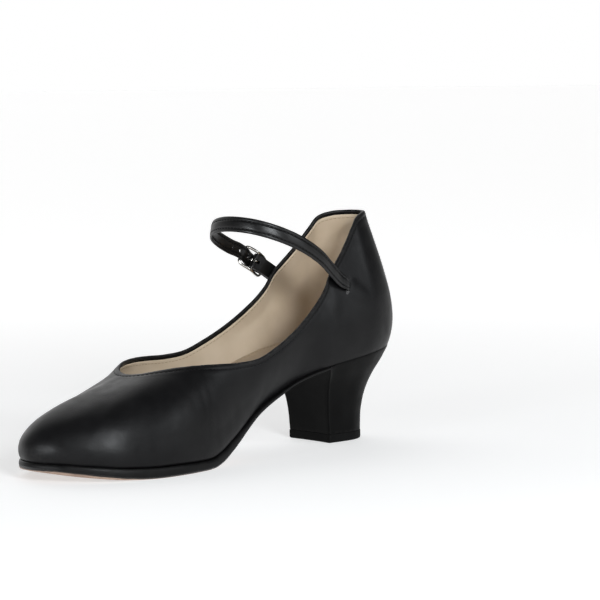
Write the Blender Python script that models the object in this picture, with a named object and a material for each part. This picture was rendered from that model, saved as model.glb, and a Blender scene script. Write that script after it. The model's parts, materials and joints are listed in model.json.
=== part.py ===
"""A heeled dance shoe for the right foot, built as its separate pieces.

Lengths are in millimetres and are turned into metres where a mesh is made.
+X runs from the heel to the toe, +Y to the inner side of the foot, +Z up.
Distances along X start at the back of the heel seat, and z = 0 is the floor.
"""

import math

import bmesh
import bpy
import numpy as np
from mathutils import Vector

MM = 0.001

# Driving dimensions
GAP = 0.3
LAYER_GAP = 0.45
UPPER_THICK = 1.2
STIFFENER_THICK = 0.9
LINING_THICK = 0.7
BOARD_THICK = 2.0
FOAM_THICK = 1.5
SOCK_THICK = 1.0
FACING_THICK = 1.0
FACING_INSET = 5.2
FACING_START = 120.0
EDGE_LIFT = 0.15
LASTING_MARGIN = 9.0
TOE_MARGIN = 7.0
SHANK_START = 30.0
SHANK_END = 118.0
SHANK_WIDTH = 13.0
SHANK_THICK = 1.1
BREAST_X = 59.0
TOP_PIECE_THICK = 4.7
COVER_THICK = 1.0
STRAP_WIDTH = 8.0
STRAP_THICK = 1.4
TAB_THICK = 0.8
BAR_RADIUS = 0.75
FRAME_RADIUS = 0.8
FRAME_HALF_LENGTH = 8.0
FRAME_HALF_WIDTH = 5.4
FRAME_RISE = 2.2
PRONG_RADIUS = 0.55

# Outer edge of the sole in plan, from the back of the seat to the toe, on each side
SOLE_INNER = [(0.5, 0), (2.9, 10.4), (9.8, 19.6), (22.5, 25.2), (40, 26.6), (59, 25.8), (85, 23.8),
              (108, 25.2), (132, 31.6), (155, 37.4), (174, 39.4), (193, 37.6), (210, 31.4), (224, 21.9),
              (234, 10.5)]
SOLE_TOE = (238, 0)
SOLE_OUTER = [(235.6, -10.5), (228.3, -20.9), (215.5, -30.5), (198.6, -37.1), (178.8, -40), (160, -39.5),
              (141, -35.2), (117.6, -29.2), (94, -26.2), (70.5, -25.8), (40, -26.4), (22.5, -25),
              (9.8, -19.6), (2.9, -10.4)]

# Height of the walking face and of the edge where the upper turns under, along the sole
WALKING_HEIGHT = [(0, 48), (30, 44.5), (59, 40.8), (66, 39.5), (80, 35.6), (93, 30), (108, 22.8),
                  (121, 14.7), (133, 6.9), (143, 1.9), (150, 0.3), (157, 0), (184, 0), (205, 0.8),
                  (222, 2.8), (238.6, 5.6)]
FEATHER_HEIGHT = [(0, 50.4), (20, 48), (38, 45.4), (59, 42.4), (66, 41.2), (80, 37.3), (93, 32.1),
                  (108, 25.4), (121, 18.6), (133, 12.2), (143, 7.4), (151, 5.2), (158, 4.9), (184, 4.9),
                  (205, 5.9), (222, 8.1), (238.6, 11.2)]
FEATHER_INSET = [(0, 1.2), (0.25, 1.4), (0.4, 2.2), (0.85, 2.2), (1, 1.9)]

# Top edge of the upper on its inner side, from the back to the throat; the outer side mirrors it
TOPLINE = [(11.5, 0, 121.8), (15, 7.5, 121.8), (22, 12.6, 121.2), (29.4, 15.7, 118.6),
           (34.2, 17, 113.2), (39.2, 18.4, 107.3), (44.6, 19.8, 101.4), (50.6, 21.2, 95.6),
           (56.6, 22.6, 89.5), (60.4, 23.4, 83.4), (65.2, 24.2, 78.2), (74.7, 25.8, 70.6),
           (85.7, 27.5, 63.4), (100.8, 29.2, 56), (113.4, 30, 51.5), (127, 29.6, 50.4),
           (140, 28.3, 50.9), (151, 25.6, 51.2), (161, 21.4, 50.8), (169, 15.8, 49.6),
           (174.6, 8.6, 48), (176.6, 0, 47.2)]

# Where each wall line of the upper meets the top edge, as shares of the way from back to front
TOPLINE_SHARE = [(0, 0), (0.12, 0.1), (0.22, 0.24), (0.32, 0.42), (0.42, 0.56), (0.52, 0.69), (0.6, 0.78),
                 (0.7, 0.855), (0.8, 0.91), (0.9, 0.955), (1, 1)]

# How far each wall line pulls out and up from its foot, and out and down from its top
FOOT_OUT = [(0, 9.5), (0.1, 9.5), (0.22, 6.5), (0.36, 4), (0.5, 4), (0.62, 5), (0.75, 5.2), (0.9, 6.4),
            (1, 7.6)]
FOOT_UP = [(0, 20), (0.1, 19), (0.2, 15), (0.35, 9), (0.5, 8.5), (0.62, 14), (0.75, 17.5), (0.9, 18.5),
           (1, 18.5)]
TOP_OUT = [(0, 5), (0.1, 8), (0.2, 6.5), (0.3, 4), (0.4, 1.8), (0.5, 1.5), (0.6, 6), (0.7, 12), (0.8, 19),
           (0.9, 29), (1, 35)]
TOP_DOWN = [(0, 24), (0.1, 23), (0.2, 19), (0.35, 9), (0.5, 7), (0.6, 8), (0.7, 7), (0.85, 6.8), (1, 7.6)]
OUTER_SIDE_DROP = [(0, 0), (0.5, 0), (0.66, 5), (0.82, 9), (0.93, 6), (1, 0)]

# Heel, as shares of its height: back edge, half width and breast
HEEL_BACK = [(0, 19.3), (0.4, 18.4), (0.55, 15.2), (0.7, 10.6), (0.85, 5.4), (1, 1)]
HEEL_HALF_WIDTH = [(0, 16), (0.4, 16.4), (0.55, 17.7), (0.7, 19.9), (0.85, 23), (1, 26)]
HEEL_BREAST = [(0, 51), (0.4, 52.6), (0.75, 55.6), (1, BREAST_X)]

# Ankle strap: from the slit on the inner side, over the instep, to the buckle on the outer side
STRAP_ROUTE = [(44.2, 24, 84.6), (44.6, 25.2, 84.7), (46.6, 26.1, 85.5), (51, 26.1, 87.7),
               (58, 27.2, 92.8), (69.5, 29.2, 101.3), (84, 29.6, 109.1), (97, 26.2, 114.8),
               (105.6, 18.5, 118.2), (109.4, 8, 119.4), (109, -3, 118.9), (105.2, -14, 116.6),
               (98.8, -22, 113.4), (90, -27.2, 109.4), (80, -29.5, 105)]
STRAP_LEAN = 0.17
ANKLE_AXIS = (46, 0)
BUCKLE_CENTRE = (62.5, -29.4, 95.9)
BUCKLE_ALONG = (-15, 2.2, -10.2)
SLIT_INNER = (44.3, 25, 84.7)
TAB_SLIT = (18.1, 0, -3.4)
SLIT_LENGTH = 9.2
SLIT_WIDTH = 3.6
SLIT_DEPTH = 5.0

RINGS_AROUND = 60
WALL_ROWS = 11
HOLE_SIDES = 12
pieces = []


# Curves and surfaces

def slopes(knots, values, level_ends):
    """Slope at each knot that keeps a table free of overshoot."""
    step = np.diff(knots)
    rise = np.diff(values) / step
    tangent = np.zeros(len(knots))
    if not level_ends:
        tangent[0], tangent[-1] = rise[0], rise[-1]
    for i in range(1, len(knots) - 1):
        if rise[i - 1] * rise[i] > 0:
            left, right = 2 * step[i] + step[i - 1], step[i] + 2 * step[i - 1]
            tangent[i] = (left + right) / (left / rise[i - 1] + right / rise[i])
    return tangent


def hermite(at, knots, values, tangent):
    """Cubic curve through the values with the given slopes."""
    i = np.clip(np.searchsorted(knots, at, side="right") - 1, 0, len(knots) - 2)
    step = knots[i + 1] - knots[i]
    t = np.clip((at - knots[i]) / step, 0, 1)
    shape = [2 * t**3 - 3 * t**2 + 1, (t**3 - 2 * t**2 + t) * step, 3 * t**2 - 2 * t**3, (t**3 - t**2) * step]
    if values.ndim == 2:
        shape = [part[..., None] for part in shape]
    return shape[0] * values[i] + shape[1] * tangent[i] + shape[2] * values[i + 1] + shape[3] * tangent[i + 1]


def graph(table, at, level_ends=False):
    """Value of a two-column table, smooth and without overshoot."""
    knots, values = np.array(table, float).T
    return hermite(np.asarray(at, float), knots, values, slopes(knots, values, level_ends))


def path_through(points, closed=False):
    """Smooth path through points in space, as a function of the distance between them, and its length."""
    points = np.array(points, float)
    ring = np.vstack([points[-1:], points, points[:2]]) if closed else points
    gap = np.linalg.norm(np.diff(ring, axis=0), axis=1)
    rise = np.diff(ring, axis=0) / gap[:, None]
    middle = (rise[:-1] * gap[1:, None] + rise[1:] * gap[:-1, None]) / (gap[1:] + gap[:-1])[:, None]
    if closed:
        points, tangent, gap = ring[1:-1], middle, gap[1:-1]
    else:
        tangent = np.vstack([1.5 * rise[:1] - 0.5 * middle[:1], middle, 1.5 * rise[-1:] - 0.5 * middle[-1:]])
    knots = np.concatenate([[0], np.cumsum(gap)])
    return (lambda at: hermite(np.asarray(at, float), knots, points, tangent)), knots


sole_path, sole_knots = path_through(SOLE_INNER + [SOLE_TOE] + SOLE_OUTER, closed=True)
TOE_DISTANCE = sole_knots[len(SOLE_INNER)]
top_path, top_knots = path_through(TOPLINE + [(x, -y, z) for x, y, z in TOPLINE[-2:0:-1]], closed=True)
THROAT_DISTANCE = top_knots[len(TOPLINE) - 1]


def round_the_shoe(turn, front, whole):
    """Distance along a closed path for a turn from 0 at the back, through 0.5 at the front, to 1."""
    turn = np.asarray(turn, float)
    return np.where(turn <= 0.5, 2 * turn * front, whole - 2 * (1 - turn) * (whole - front))


def sole_edge(turn, inset=0.0):
    """Plan point of the sole's edge, moved in by the inset."""
    def at(where):
        return sole_path(round_the_shoe(where, TOE_DISTANCE, sole_knots[-1]) % sole_knots[-1])
    turn = np.asarray(turn, float)
    ahead = at(turn + 0.002) - at(turn - 0.002)
    outward = np.stack([ahead[..., 1], -ahead[..., 0]], -1)
    outward /= -np.linalg.norm(outward, axis=-1, keepdims=True)
    return at(turn) - outward * np.asarray(inset)[..., None], outward


def half_turn(turn):
    """Share of the way from the back to the front, the same on both sides."""
    return 1 - np.abs(1 - 2 * np.asarray(turn, float))


def feather_edge(turn, inset=0.0):
    """Plan point of the edge where the upper turns under, moved in by the inset."""
    return sole_edge(turn, graph(FEATHER_INSET, half_turn(turn), True) + inset)


def wall(turn, rise):
    """Point on the outer face of the upper: rise is 0 at the sole and 1 at the top edge."""
    turn, rise = np.broadcast_arrays(np.asarray(turn, float) % 1.0, np.asarray(rise, float))
    share = half_turn(turn)
    outer_side = np.where(turn > 0.5, graph(OUTER_SIDE_DROP, share, True), 0)
    foot, outward = feather_edge(turn)
    foot = np.concatenate([foot, graph(FEATHER_HEIGHT, foot[..., 0])[..., None]], -1)
    along = graph(TOPLINE_SHARE, share) * THROAT_DISTANCE
    along = np.where(turn <= 0.5, along, top_knots[-1] - along) % top_knots[-1]
    top = top_path(along)
    ahead = top_path((along + 0.5) % top_knots[-1]) - top_path((along - 0.5) % top_knots[-1])
    away = np.stack([-ahead[..., 1], ahead[..., 0]], -1)
    away /= np.linalg.norm(away, axis=-1, keepdims=True)
    low, high = foot.copy(), top.copy()
    low[..., :2] += outward * graph(FOOT_OUT, share, True)[..., None]
    low[..., 2] += graph(FOOT_UP, share, True) - 0.3 * outer_side
    high[..., :2] += away * graph(TOP_OUT, share, True)[..., None]
    high[..., 2] -= graph(TOP_DOWN, share, True) + outer_side
    t = rise[..., None]
    return foot * (1 - t)**3 + 3 * low * t * (1 - t)**2 + 3 * high * t**2 * (1 - t) + top * t**3


def wall_inside(turn, rise, depth):
    """Point this far under the outer face of the upper."""
    rise = np.asarray(rise, float)
    low, high = np.clip(rise - 0.01, 0, 1), np.clip(rise + 0.01, 0, 1)
    across = wall(np.asarray(turn) + 0.002, rise) - wall(np.asarray(turn) - 0.002, rise)
    upward = wall(turn, high) - wall(turn, low)
    normal = np.cross(across, upward)
    normal /= np.linalg.norm(normal, axis=-1, keepdims=True)
    return wall(turn, rise) + normal * np.asarray(depth)[..., None]


def ease(value, start, end):
    """0 before start, 1 after end, smooth between."""
    t = np.clip((np.asarray(value, float) - start) / (end - start), 0, 1)
    return t * t * (3 - 2 * t)


# Meshes, materials and objects

def material(name, colour, roughness, metallic=0.0):
    made = bpy.data.materials.new(name)
    made.use_nodes = True
    shader = made.node_tree.nodes["Principled BSDF"]
    shader.inputs["Base Color"].default_value = (*colour, 1)
    shader.inputs["Roughness"].default_value = roughness
    shader.inputs["Metallic"].default_value = metallic
    return made


def piece(name, points, faces, finish, smooth=True):
    """Object from points in millimetres; equal points are joined and its faces point out."""
    shape = bmesh.new()
    corners = [shape.verts.new(Vector(point) * MM) for point in np.asarray(points, float)]
    for face in faces:
        kept = [k for n, k in enumerate(face) if k != face[n - 1]]
        if len(kept) > 2:
            shape.faces.new([corners[k] for k in kept])
    bmesh.ops.remove_doubles(shape, verts=shape.verts, dist=1e-6)
    bmesh.ops.dissolve_degenerate(shape, edges=shape.edges, dist=1e-6)
    bmesh.ops.recalc_face_normals(shape, faces=shape.faces)
    mesh = bpy.data.meshes.new(name)
    shape.to_mesh(mesh)
    shape.free()
    mesh.materials.append(finish)
    if smooth:
        mesh.shade_smooth()
        mesh.set_sharp_from_angle(angle=math.radians(40))
    made = bpy.data.objects.new(name, mesh)
    bpy.context.scene.collection.objects.link(made)
    pieces.append(made)
    return made


def grid_faces(rows, columns):
    """Quads of a grid of points stored row after row."""
    return [(r * columns + c, (r + 1) * columns + c, (r + 1) * columns + c + 1, r * columns + c + 1)
            for r in range(rows - 1) for c in range(columns - 1)]


def ring_piece(name, sections, finish):
    """Closed ring: each section is a closed loop of points round the material."""
    rows, columns = len(sections), len(sections[0])
    faces = [(r * columns + c, ((r + 1) % rows) * columns + c, ((r + 1) % rows) * columns + (c + 1) % columns,
              r * columns + (c + 1) % columns) for r in range(rows) for c in range(columns)]
    return piece(name, np.vstack(sections), faces, finish)


def swept_piece(name, sections, finish):
    """Solid between the first and the last section, each a closed loop of points."""
    rows, columns = len(sections), len(sections[0])
    faces = [(r * columns + c, (r + 1) * columns + c, (r + 1) * columns + (c + 1) % columns,
              r * columns + (c + 1) % columns) for r in range(rows - 1) for c in range(columns)]
    faces += [tuple(range(columns)), tuple((rows - 1) * columns + c for c in range(columns))]
    return piece(name, np.vstack(sections), faces, finish)


def patch_piece(name, outer, inner, finish):
    """Sheet between two grids of points with the same shape."""
    rows, columns = outer.shape[:2]
    points = np.vstack([outer.reshape(-1, 3), inner.reshape(-1, 3)])
    back = rows * columns
    faces = grid_faces(rows, columns)
    faces += [tuple(back + k for k in face) for face in faces]
    edge = [c for c in range(columns)] + [r * columns + columns - 1 for r in range(1, rows)]
    edge += [(rows - 1) * columns + c for c in range(columns - 2, -1, -1)]
    edge += [r * columns for r in range(rows - 2, 0, -1)]
    faces += [(a, b, back + b, back + a) for a, b in zip(edge, edge[1:] + edge[:1])]
    return piece(name, points, faces, finish)


def layer_piece(name, turns, column, finish):
    """Flat layer of the sole. column(turn) lists its edge from the top face to the bottom face, turns run
    from the back to the toe on the inner side, and each is paired with the same place on the outer side."""
    inner = [column(t) for t in turns]
    outer = [column((1 - t) % 1) for t in turns]
    count, deep = len(turns), len(inner[0])
    points = np.vstack(inner + outer)
    faces = []
    for side in (0, count):
        for j in range(count - 1):
            a, b = (side + j) * deep, (side + j + 1) * deep
            faces += [(a + k, b + k, b + k + 1, a + k + 1) for k in range(deep - 1)]
    for k in (0, deep - 1):
        faces += [(j * deep + k, (j + 1) * deep + k, (count + j + 1) * deep + k, (count + j) * deep + k)
                  for j in range(count - 1)]
    for j in (0, count - 1):
        near, far = j * deep, (count + j) * deep
        faces.append(tuple(near + k for k in range(deep)) + tuple(far + k for k in range(deep - 1, -1, -1)))
    keep, seen = [], {}
    index = [seen.setdefault(tuple(np.round(point, 4)), n) for n, point in enumerate(points)]
    for face in faces:
        merged = [index[k] for k in face]
        merged = [k for n, k in enumerate(merged) if k != merged[n - 1]]
        if len(set(merged)) == len(merged) > 2:
            keep.append(tuple(merged))
    return piece(name, points, keep, finish)


def cut(target, cutter):
    """Takes the cutter, which is no piece of the shoe, out of the target."""
    pieces.remove(cutter)
    cutter.hide_render = True
    cutter.display_type = "WIRE"
    taken = target.modifiers.new(cutter.name, "BOOLEAN")
    taken.operation = "DIFFERENCE"
    taken.object = cutter


def join(target, other):
    """Makes the other solid one with the target."""
    pieces.remove(other)
    other.hide_render = True
    other.display_type = "WIRE"
    added = target.modifiers.new(other.name, "BOOLEAN")
    added.operation = "UNION"
    added.object = other


def soften(target, width, segments=2):
    """Rounds the sharp edges of a piece."""
    bevel = target.modifiers.new("rounded_edges", "BEVEL")
    bevel.width = width * MM
    bevel.segments = segments
    bevel.limit_method = "ANGLE"
    bevel.angle_limit = math.radians(40)


def frame_at(centre, along, outward):
    """Local axes: along, across and outward, as rows, with the centre."""
    along = np.array(along, float) / np.linalg.norm(along)
    outward = np.array(outward, float) - np.dot(outward, along) * along
    outward /= np.linalg.norm(outward)
    return np.array(centre, float), np.array([along, np.cross(outward, along), outward])


def placed(frame, points):
    """Points given along, across and outward, moved to the frame."""
    centre, axes = frame
    return centre + np.asarray(points, float) @ axes


def turned_piece(name, frame, profile, finish, sides=HOLE_SIDES):
    """Solid of revolution about the frame's outward axis. The profile lists radius and height."""
    angles = np.arange(sides) * 2 * math.pi / sides
    sections = [placed(frame, [(radius * math.cos(a), radius * math.sin(a), height) for a in angles])
                for radius, height in profile]
    return swept_piece(name, sections, finish)


def tube_piece(name, path, radius, finish, sides=10, closed=False):
    """Round bar that follows a path of points."""
    path = np.asarray(path, float)
    ahead = np.roll(path, -1, 0) - np.roll(path, 1, 0) if closed else np.gradient(path, axis=0)
    ahead /= np.linalg.norm(ahead, axis=1, keepdims=True)
    side = np.cross(ahead[0], (0.3, 0.5, 0.8))
    sections = []
    for point, direction in zip(path, ahead):
        side = side - np.dot(side, direction) * direction
        side /= np.linalg.norm(side)
        other = np.cross(direction, side)
        angles = np.arange(sides) * 2 * math.pi / sides
        sections.append([point + radius * (math.cos(a) * side + math.sin(a) * other) for a in angles])
    return (ring_piece if closed else swept_piece)(name, sections, finish)


BUCKLE_FRAME = frame_at(BUCKLE_CENTRE, BUCKLE_ALONG, (0, -1, 0))


# Upper

def margin_width(turn):
    return LASTING_MARGIN + (TOE_MARGIN - LASTING_MARGIN) * ease(half_turn(turn), 0.8, 1)


def height_above_feather(turn, height):
    """Rise at which the wall stands this high above its foot."""
    rises = np.linspace(0, 0.4, 81)
    heights = wall(turn, rises)[:, 2] - wall(turn, 0)[2]
    return np.interp(height, heights, rises)


def wall_rows(turn, top=1.0):
    """Rises of the rows that the upper's layers share, from just above the turned-under margin."""
    start = height_above_feather(turn, UPPER_THICK + LAYER_GAP + 0.3)
    return start + (top - start) * np.linspace(0, 1, WALL_ROWS)**1.15


def make_upper(finish):
    """One sheet that turns under the foot at the sole edge, with a slit for the strap on each side."""
    sections = []
    for turn in np.arange(RINGS_AROUND) / RINGS_AROUND:
        rises = wall_rows(turn)
        width = margin_width(turn)
        flange = []
        for inset, lift in ((0.5, 0), (width, 0), (width, UPPER_THICK), (UPPER_THICK + 0.3, UPPER_THICK)):
            point, _ = feather_edge(turn, inset)
            flange.append((*point, graph(FEATHER_HEIGHT, point[0]) + lift))
        inside = wall_inside(turn, rises, UPPER_THICK)
        sections.append(np.vstack([flange, inside, wall(turn, rises)[::-1], wall(turn, [0.02])]))
    upper = ring_piece("upper", sections, finish)
    inner_slit = frame_at(SLIT_INNER, (1, 0, 0.12), (0, 1, 0))
    outer_slit = (placed(BUCKLE_FRAME, TAB_SLIT), BUCKLE_FRAME[1])
    cut(upper, box_piece("slit_inner", inner_slit, (SLIT_WIDTH, SLIT_LENGTH, SLIT_DEPTH), finish))
    cut(upper, box_piece("slit_outer", outer_slit, (SLIT_WIDTH + 0.6, SLIT_LENGTH, SLIT_DEPTH), finish))
    return upper


def box_piece(name, frame, size, finish):
    half = np.array(size, float) / 2
    corners = [(x, y, z) for z in (-1, 1) for x, y in ((-1, -1), (1, -1), (1, 1), (-1, 1))]
    return swept_piece(name, np.array(placed(frame, np.array(corners) * half)).reshape(2, 4, 3), finish)


def stiffened(turn, rise):
    """1 where a stiffener lies between the upper and the lining, 0 well away from it."""
    share = half_turn(turn)
    heel = (1 - ease(share, 0.3, 0.36)) * (1 - ease(rise, 0.5, 0.72))
    toe = ease(share, 0.76, 0.82) * (1 - ease(rise, 0.5, 0.72))
    return heel + toe


def make_lining(finish):
    """Thin inner skin from the insole up to the top edge, standing off where a stiffener lies behind it."""
    sections = []
    for turn in np.arange(RINGS_AROUND) / RINGS_AROUND:
        rises = wall_rows(turn)
        rises[-1] -= 0.015
        depth = UPPER_THICK + GAP + (STIFFENER_THICK + GAP) * stiffened(turn, rises)
        outside = wall_inside(turn, rises, depth)
        inside = wall_inside(turn, rises, depth + LINING_THICK)
        sections.append(np.vstack([outside, inside[::-1]]))
    return ring_piece("upper_lining", sections, finish)


def stiffener(name, first_ring, last_ring, finish):
    """Moulded sheet between the upper and the lining, over the lower half of the wall."""
    rows = []
    for turn in np.arange(first_ring, last_ring + 1) / RINGS_AROUND:
        rises = wall_rows(turn)[:WALL_ROWS // 2 + 1]
        rows.append([wall_inside(turn, rises, UPPER_THICK + GAP),
                     wall_inside(turn, rises, UPPER_THICK + GAP + STIFFENER_THICK)])
    rows = np.array(rows)
    return patch_piece(name, rows[:, 0], rows[:, 1], finish)


# Sole

def level(inset, lift, base=FEATHER_HEIGHT, edge=sole_edge):
    """Edge point of a layer: this far in from an edge and above a height."""
    def point(turn):
        plan, _ = edge(turn, inset)
        return (*plan, graph(base, plan[0]) + lift)
    return point


def flat_layer(name, inset, low, high, turns, finish):
    """Layer inside the upper, measured from the edge where the upper turns under."""
    points = [level(inset, high, edge=feather_edge), level(inset, low, edge=feather_edge)]
    return layer_piece(name, turns, lambda turn: np.array([point(turn) for point in points]), finish)


def turn_at(x):
    """Turn on the inner side at which the sole's edge passes this x."""
    turns = np.linspace(0, 0.5, 2001)
    return float(np.interp(x, sole_edge(turns)[0][:, 0], turns))


def turns_from(x):
    """Turns of the upper's rings from this x to the toe, on the inner side, starting exactly there."""
    start = turn_at(x)
    rings = np.arange(RINGS_AROUND // 2 + 1) / RINGS_AROUND
    return np.concatenate([[start], rings[rings > start + 0.004]])


def make_outsole(finish):
    """Sole with a rounded edge, thin at the waist, with a shallow bed under the forefoot for its facing."""

    def column(turn):
        x = sole_edge(turn)[0][0]
        thick = graph(FEATHER_HEIGHT, x) - graph(WALKING_HEIGHT, x)
        bed = (FACING_THICK + GAP) * ease(x, FACING_START - 8, FACING_START - 3)
        edge = [level(1.8 - 0.5 * ease(x, BREAST_X, 140), -LAYER_GAP), level(0.35, -LAYER_GAP - 0.2 * thick),
                level(0, -LAYER_GAP - 0.45 * thick), level(0.5, 0.2 * thick, WALKING_HEIGHT),
                level(1.6, EDGE_LIFT, WALKING_HEIGHT), level(FACING_INSET - 0.7, EDGE_LIFT, WALKING_HEIGHT),
                level(FACING_INSET - 0.4, EDGE_LIFT + bed, WALKING_HEIGHT)]
        return np.array([point(turn) for point in edge])

    return layer_piece("outsole", turns_from(BREAST_X + 1), column, finish)


def make_sole_facing(finish):
    """Thin walking face let into the underside of the forefoot."""
    points = [level(FACING_INSET, lift, WALKING_HEIGHT) for lift in (FACING_THICK, 0)]
    return layer_piece("sole_facing", turns_from(FACING_START),
                       lambda turn: np.array([point(turn) for point in points]), finish)


def make_shank(finish):
    """Spring steel strip under the arch, ending over the heel."""
    sections = []
    for x in np.linspace(SHANK_START, SHANK_END, 17):
        half = SHANK_WIDTH / 2 - 1.5 * ease(x, 95, SHANK_END)
        low = graph(FEATHER_HEIGHT, x) + 0.05
        high = low + SHANK_THICK
        sections.append([(x, -half, low), (x, half, low), (x, half, high), (x, -half, high)])
    return swept_piece("shank", sections, finish)


# Heel

def heel_loop(share, inset, low):
    """Closed outline of the heel at a share of the way from the low level to the heel seat."""
    turns = np.linspace(turn_at(BREAST_X), -turn_at(BREAST_X), 27)
    seat, _ = sole_edge(turns % 1, 0.5)
    back, breast = graph(HEEL_BACK, share) + inset, graph(HEEL_BREAST, share) - inset
    half = graph(HEEL_HALF_WIDTH, share) - inset
    start, end = seat[:, 0].min(), seat[:, 0].max()
    x = back + (seat[:, 0] - start) / (end - start) * (breast - back)
    y = seat[:, 1] / np.abs(seat[:, 1]).max() * half
    x[0], x[-1] = x[0] - 0.5, x[-1] - 0.5
    corner = [(breast, -half * 0.93), (breast, half * 0.93)]
    x = np.concatenate([x, [corner[0][0], corner[1][0]]])
    y = np.concatenate([y, [corner[0][1], corner[1][1]]])
    z = low + share * (graph(FEATHER_HEIGHT, x) - LAYER_GAP - low)
    return np.stack([x, y, z], -1)


HEEL_SHARES = np.array([0, 0.2, 0.38, 0.5, 0.6, 0.7, 0.8, 0.9, 1])


def make_heel(block_finish, cover_finish):
    """Block with a leather cover wrapped round its back, sides and breast."""
    bottom = TOP_PIECE_THICK + GAP
    outside = [heel_loop(s, 0, bottom) for s in HEEL_SHARES]
    inside = [heel_loop(s, COVER_THICK, bottom) for s in HEEL_SHARES]
    sections = [np.array([loop[k] for loop in outside] + [loop[k] for loop in inside[::-1]])
                for k in range(len(outside[0]))]
    ring_piece("heel_cover", sections, cover_finish)
    block = [heel_loop(s, COVER_THICK + GAP, bottom) for s in HEEL_SHARES]
    return swept_piece("heel_block", block, block_finish)


def make_top_piece(finish):
    """Replaceable wearing piece under the heel, slightly proud of the cover."""
    loops = [heel_loop(0, -0.35, 0) for _ in range(2)]
    loops[1][:, 2] = TOP_PIECE_THICK
    made = swept_piece("top_piece", loops, finish)
    soften(made, 0.5)
    return made


def make_top_piece_pins(target, block, finish):
    for number, (x, y) in enumerate(((26, 0), (43, 9), (43, -9)), 1):
        frame = frame_at((x, y, 0), (1, 0, 0), (0, 0, 1))
        profile = [(1.6, 0.8), (1.6, 1.5), (0.8, 2), (0.8, 13), (0.3, 14)]
        turned_piece(f"top_piece_pin_{number}", frame, profile, finish, sides=8)
        hole = [(2.0, -1), (2.0, 1.9), (1.2, 2.4), (1.2, 14.5)]
        cut(target, turned_piece(f"top_piece_hole_{number}", frame, hole, finish, sides=8))
        cut(block, turned_piece(f"pin_hole_{number}", frame, hole, finish, sides=8))


def seat_frame(x, y):
    """Frame on the feather surface, outward being square to it."""
    slope = (graph(FEATHER_HEIGHT, x + 1) - graph(FEATHER_HEIGHT, x - 1)) / 2
    return frame_at((x, y, graph(FEATHER_HEIGHT, x)), (1, 0, slope), (-slope, 0, 1))


def make_heel_fasteners(board, shank, block, finish):
    """Nails round the seat and one screw through the shank hold the heel from inside."""
    top = UPPER_THICK + LAYER_GAP + BOARD_THICK
    spots = [("heel_nail_1", 17.5, 0), ("heel_nail_2", 27, 9), ("heel_nail_3", 27, -9),
             ("heel_nail_4", 46, 9.5), ("heel_nail_5", 46, -9.5), ("heel_screw", 40, 0)]
    for name, x, y in spots:
        frame = seat_frame(x, y)
        shaft = 1.6 if name == "heel_screw" else 0.8
        head = 3.2 if name == "heel_screw" else 1.9
        profile = [(shaft * 0.4, -13), (shaft, -11), (shaft, top - 1.5), (head, top - 1), (head, top - 0.4)]
        turned_piece(name, frame, profile, finish, sides=10)
        hole = [(shaft + 0.4, -13.6), (shaft + 0.4, top - 1.9), (head + 0.4, top - 1.4),
                (head + 0.4, top + 2)]
        for target in (board, block) + ((shank,) if name == "heel_screw" else ()):
            cut(target, turned_piece(f"{name}_in_{target.name}", frame, hole, finish, sides=10))


def make_shank_rivets(board, shank, finish):
    top = UPPER_THICK + LAYER_GAP + BOARD_THICK
    for number, x in enumerate((72, 108), 1):
        frame = seat_frame(x, 0)
        profile = [(1.4, 0.2), (1.4, top - 1.5), (2.6, top - 1), (2.6, top - 0.4)]
        turned_piece(f"shank_rivet_{number}", frame, profile, finish, sides=10)
        hole = [(1.8, -0.8), (1.8, top - 1.9), (3.0, top - 1.4), (3.0, top + 2)]
        for target in (board, shank):
            cut(target, turned_piece(f"rivet_{number}_in_{target.name}", frame, hole, finish, sides=10))


# Strap and buckle

def strap_route():
    """Centre line of the strap, with the direction across its width at each point."""
    tail = [(-10, 0.1), (-8, 0.1), (-6.6, 0.45), (-5, 1.3), (-2.6, 2.5), (0, 3.05), (2.6, 2.5), (5, 1.3),
            (6.6, 0.45), (8, 0.1), (10, 0.1), (14, 0.15), (20, 0.5), (27, 1.5)]
    buckled = [placed(BUCKLE_FRAME, (along, 0, out)) for along, out in tail]
    path, knots = path_through(np.vstack([STRAP_ROUTE, buckled]))
    at = np.concatenate([np.linspace(a, b, max(2, int((b - a) / 3.2) + 1))[:-1]
                         for a, b in zip(knots[:-1], knots[1:])] + [knots[-1:]])
    points = path(at)
    buckle_share = ease(at, knots[len(STRAP_ROUTE) - 2], knots[len(STRAP_ROUTE)])[:, None]
    away = np.stack([points[:, 0] - ANKLE_AXIS[0], points[:, 1] - ANKLE_AXIS[1], 0 * points[:, 0]], -1)
    away /= np.linalg.norm(away, axis=1, keepdims=True)
    upright = np.array([0, 0, 1]) - STRAP_LEAN * away
    return points, upright * (1 - buckle_share) - BUCKLE_FRAME[1][1] * buckle_share


def make_strap(finish):
    """Flat strap whose free end passes under the buckle's front bar, over its centre bar and under its back
    bar, with holes for the prong."""
    points, upright = strap_route()
    ahead = np.gradient(points, axis=0)
    ahead /= np.linalg.norm(ahead, axis=1, keepdims=True)
    sections = []
    for n, (point, direction, across) in enumerate(zip(points, ahead, upright)):
        across = across - np.dot(across, direction) * direction
        across /= np.linalg.norm(across)
        out = np.cross(across, direction)
        left = len(points) - 1 - n
        half = STRAP_WIDTH / 2 * (1 if left > 2 else (0.45, 0.8, 0.95)[left])
        sections.append([point + a * half * across + b * STRAP_THICK / 2 * out
                         for a, b in ((-1, -1), (1, -1), (1, 1), (-1, 1))])
    strap = swept_piece("ankle_strap", sections, finish)
    for number, (along, length) in enumerate(((-2.5, 2.0), (20, 1.1)), 1):
        frame = frame_at(placed(BUCKLE_FRAME, (along, 0, 2)), BUCKLE_FRAME[1][0], BUCKLE_FRAME[1][2])
        cut(strap, box_piece(f"strap_hole_{number}", frame, (2 * length, 2, 9), finish))
    return strap


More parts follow.
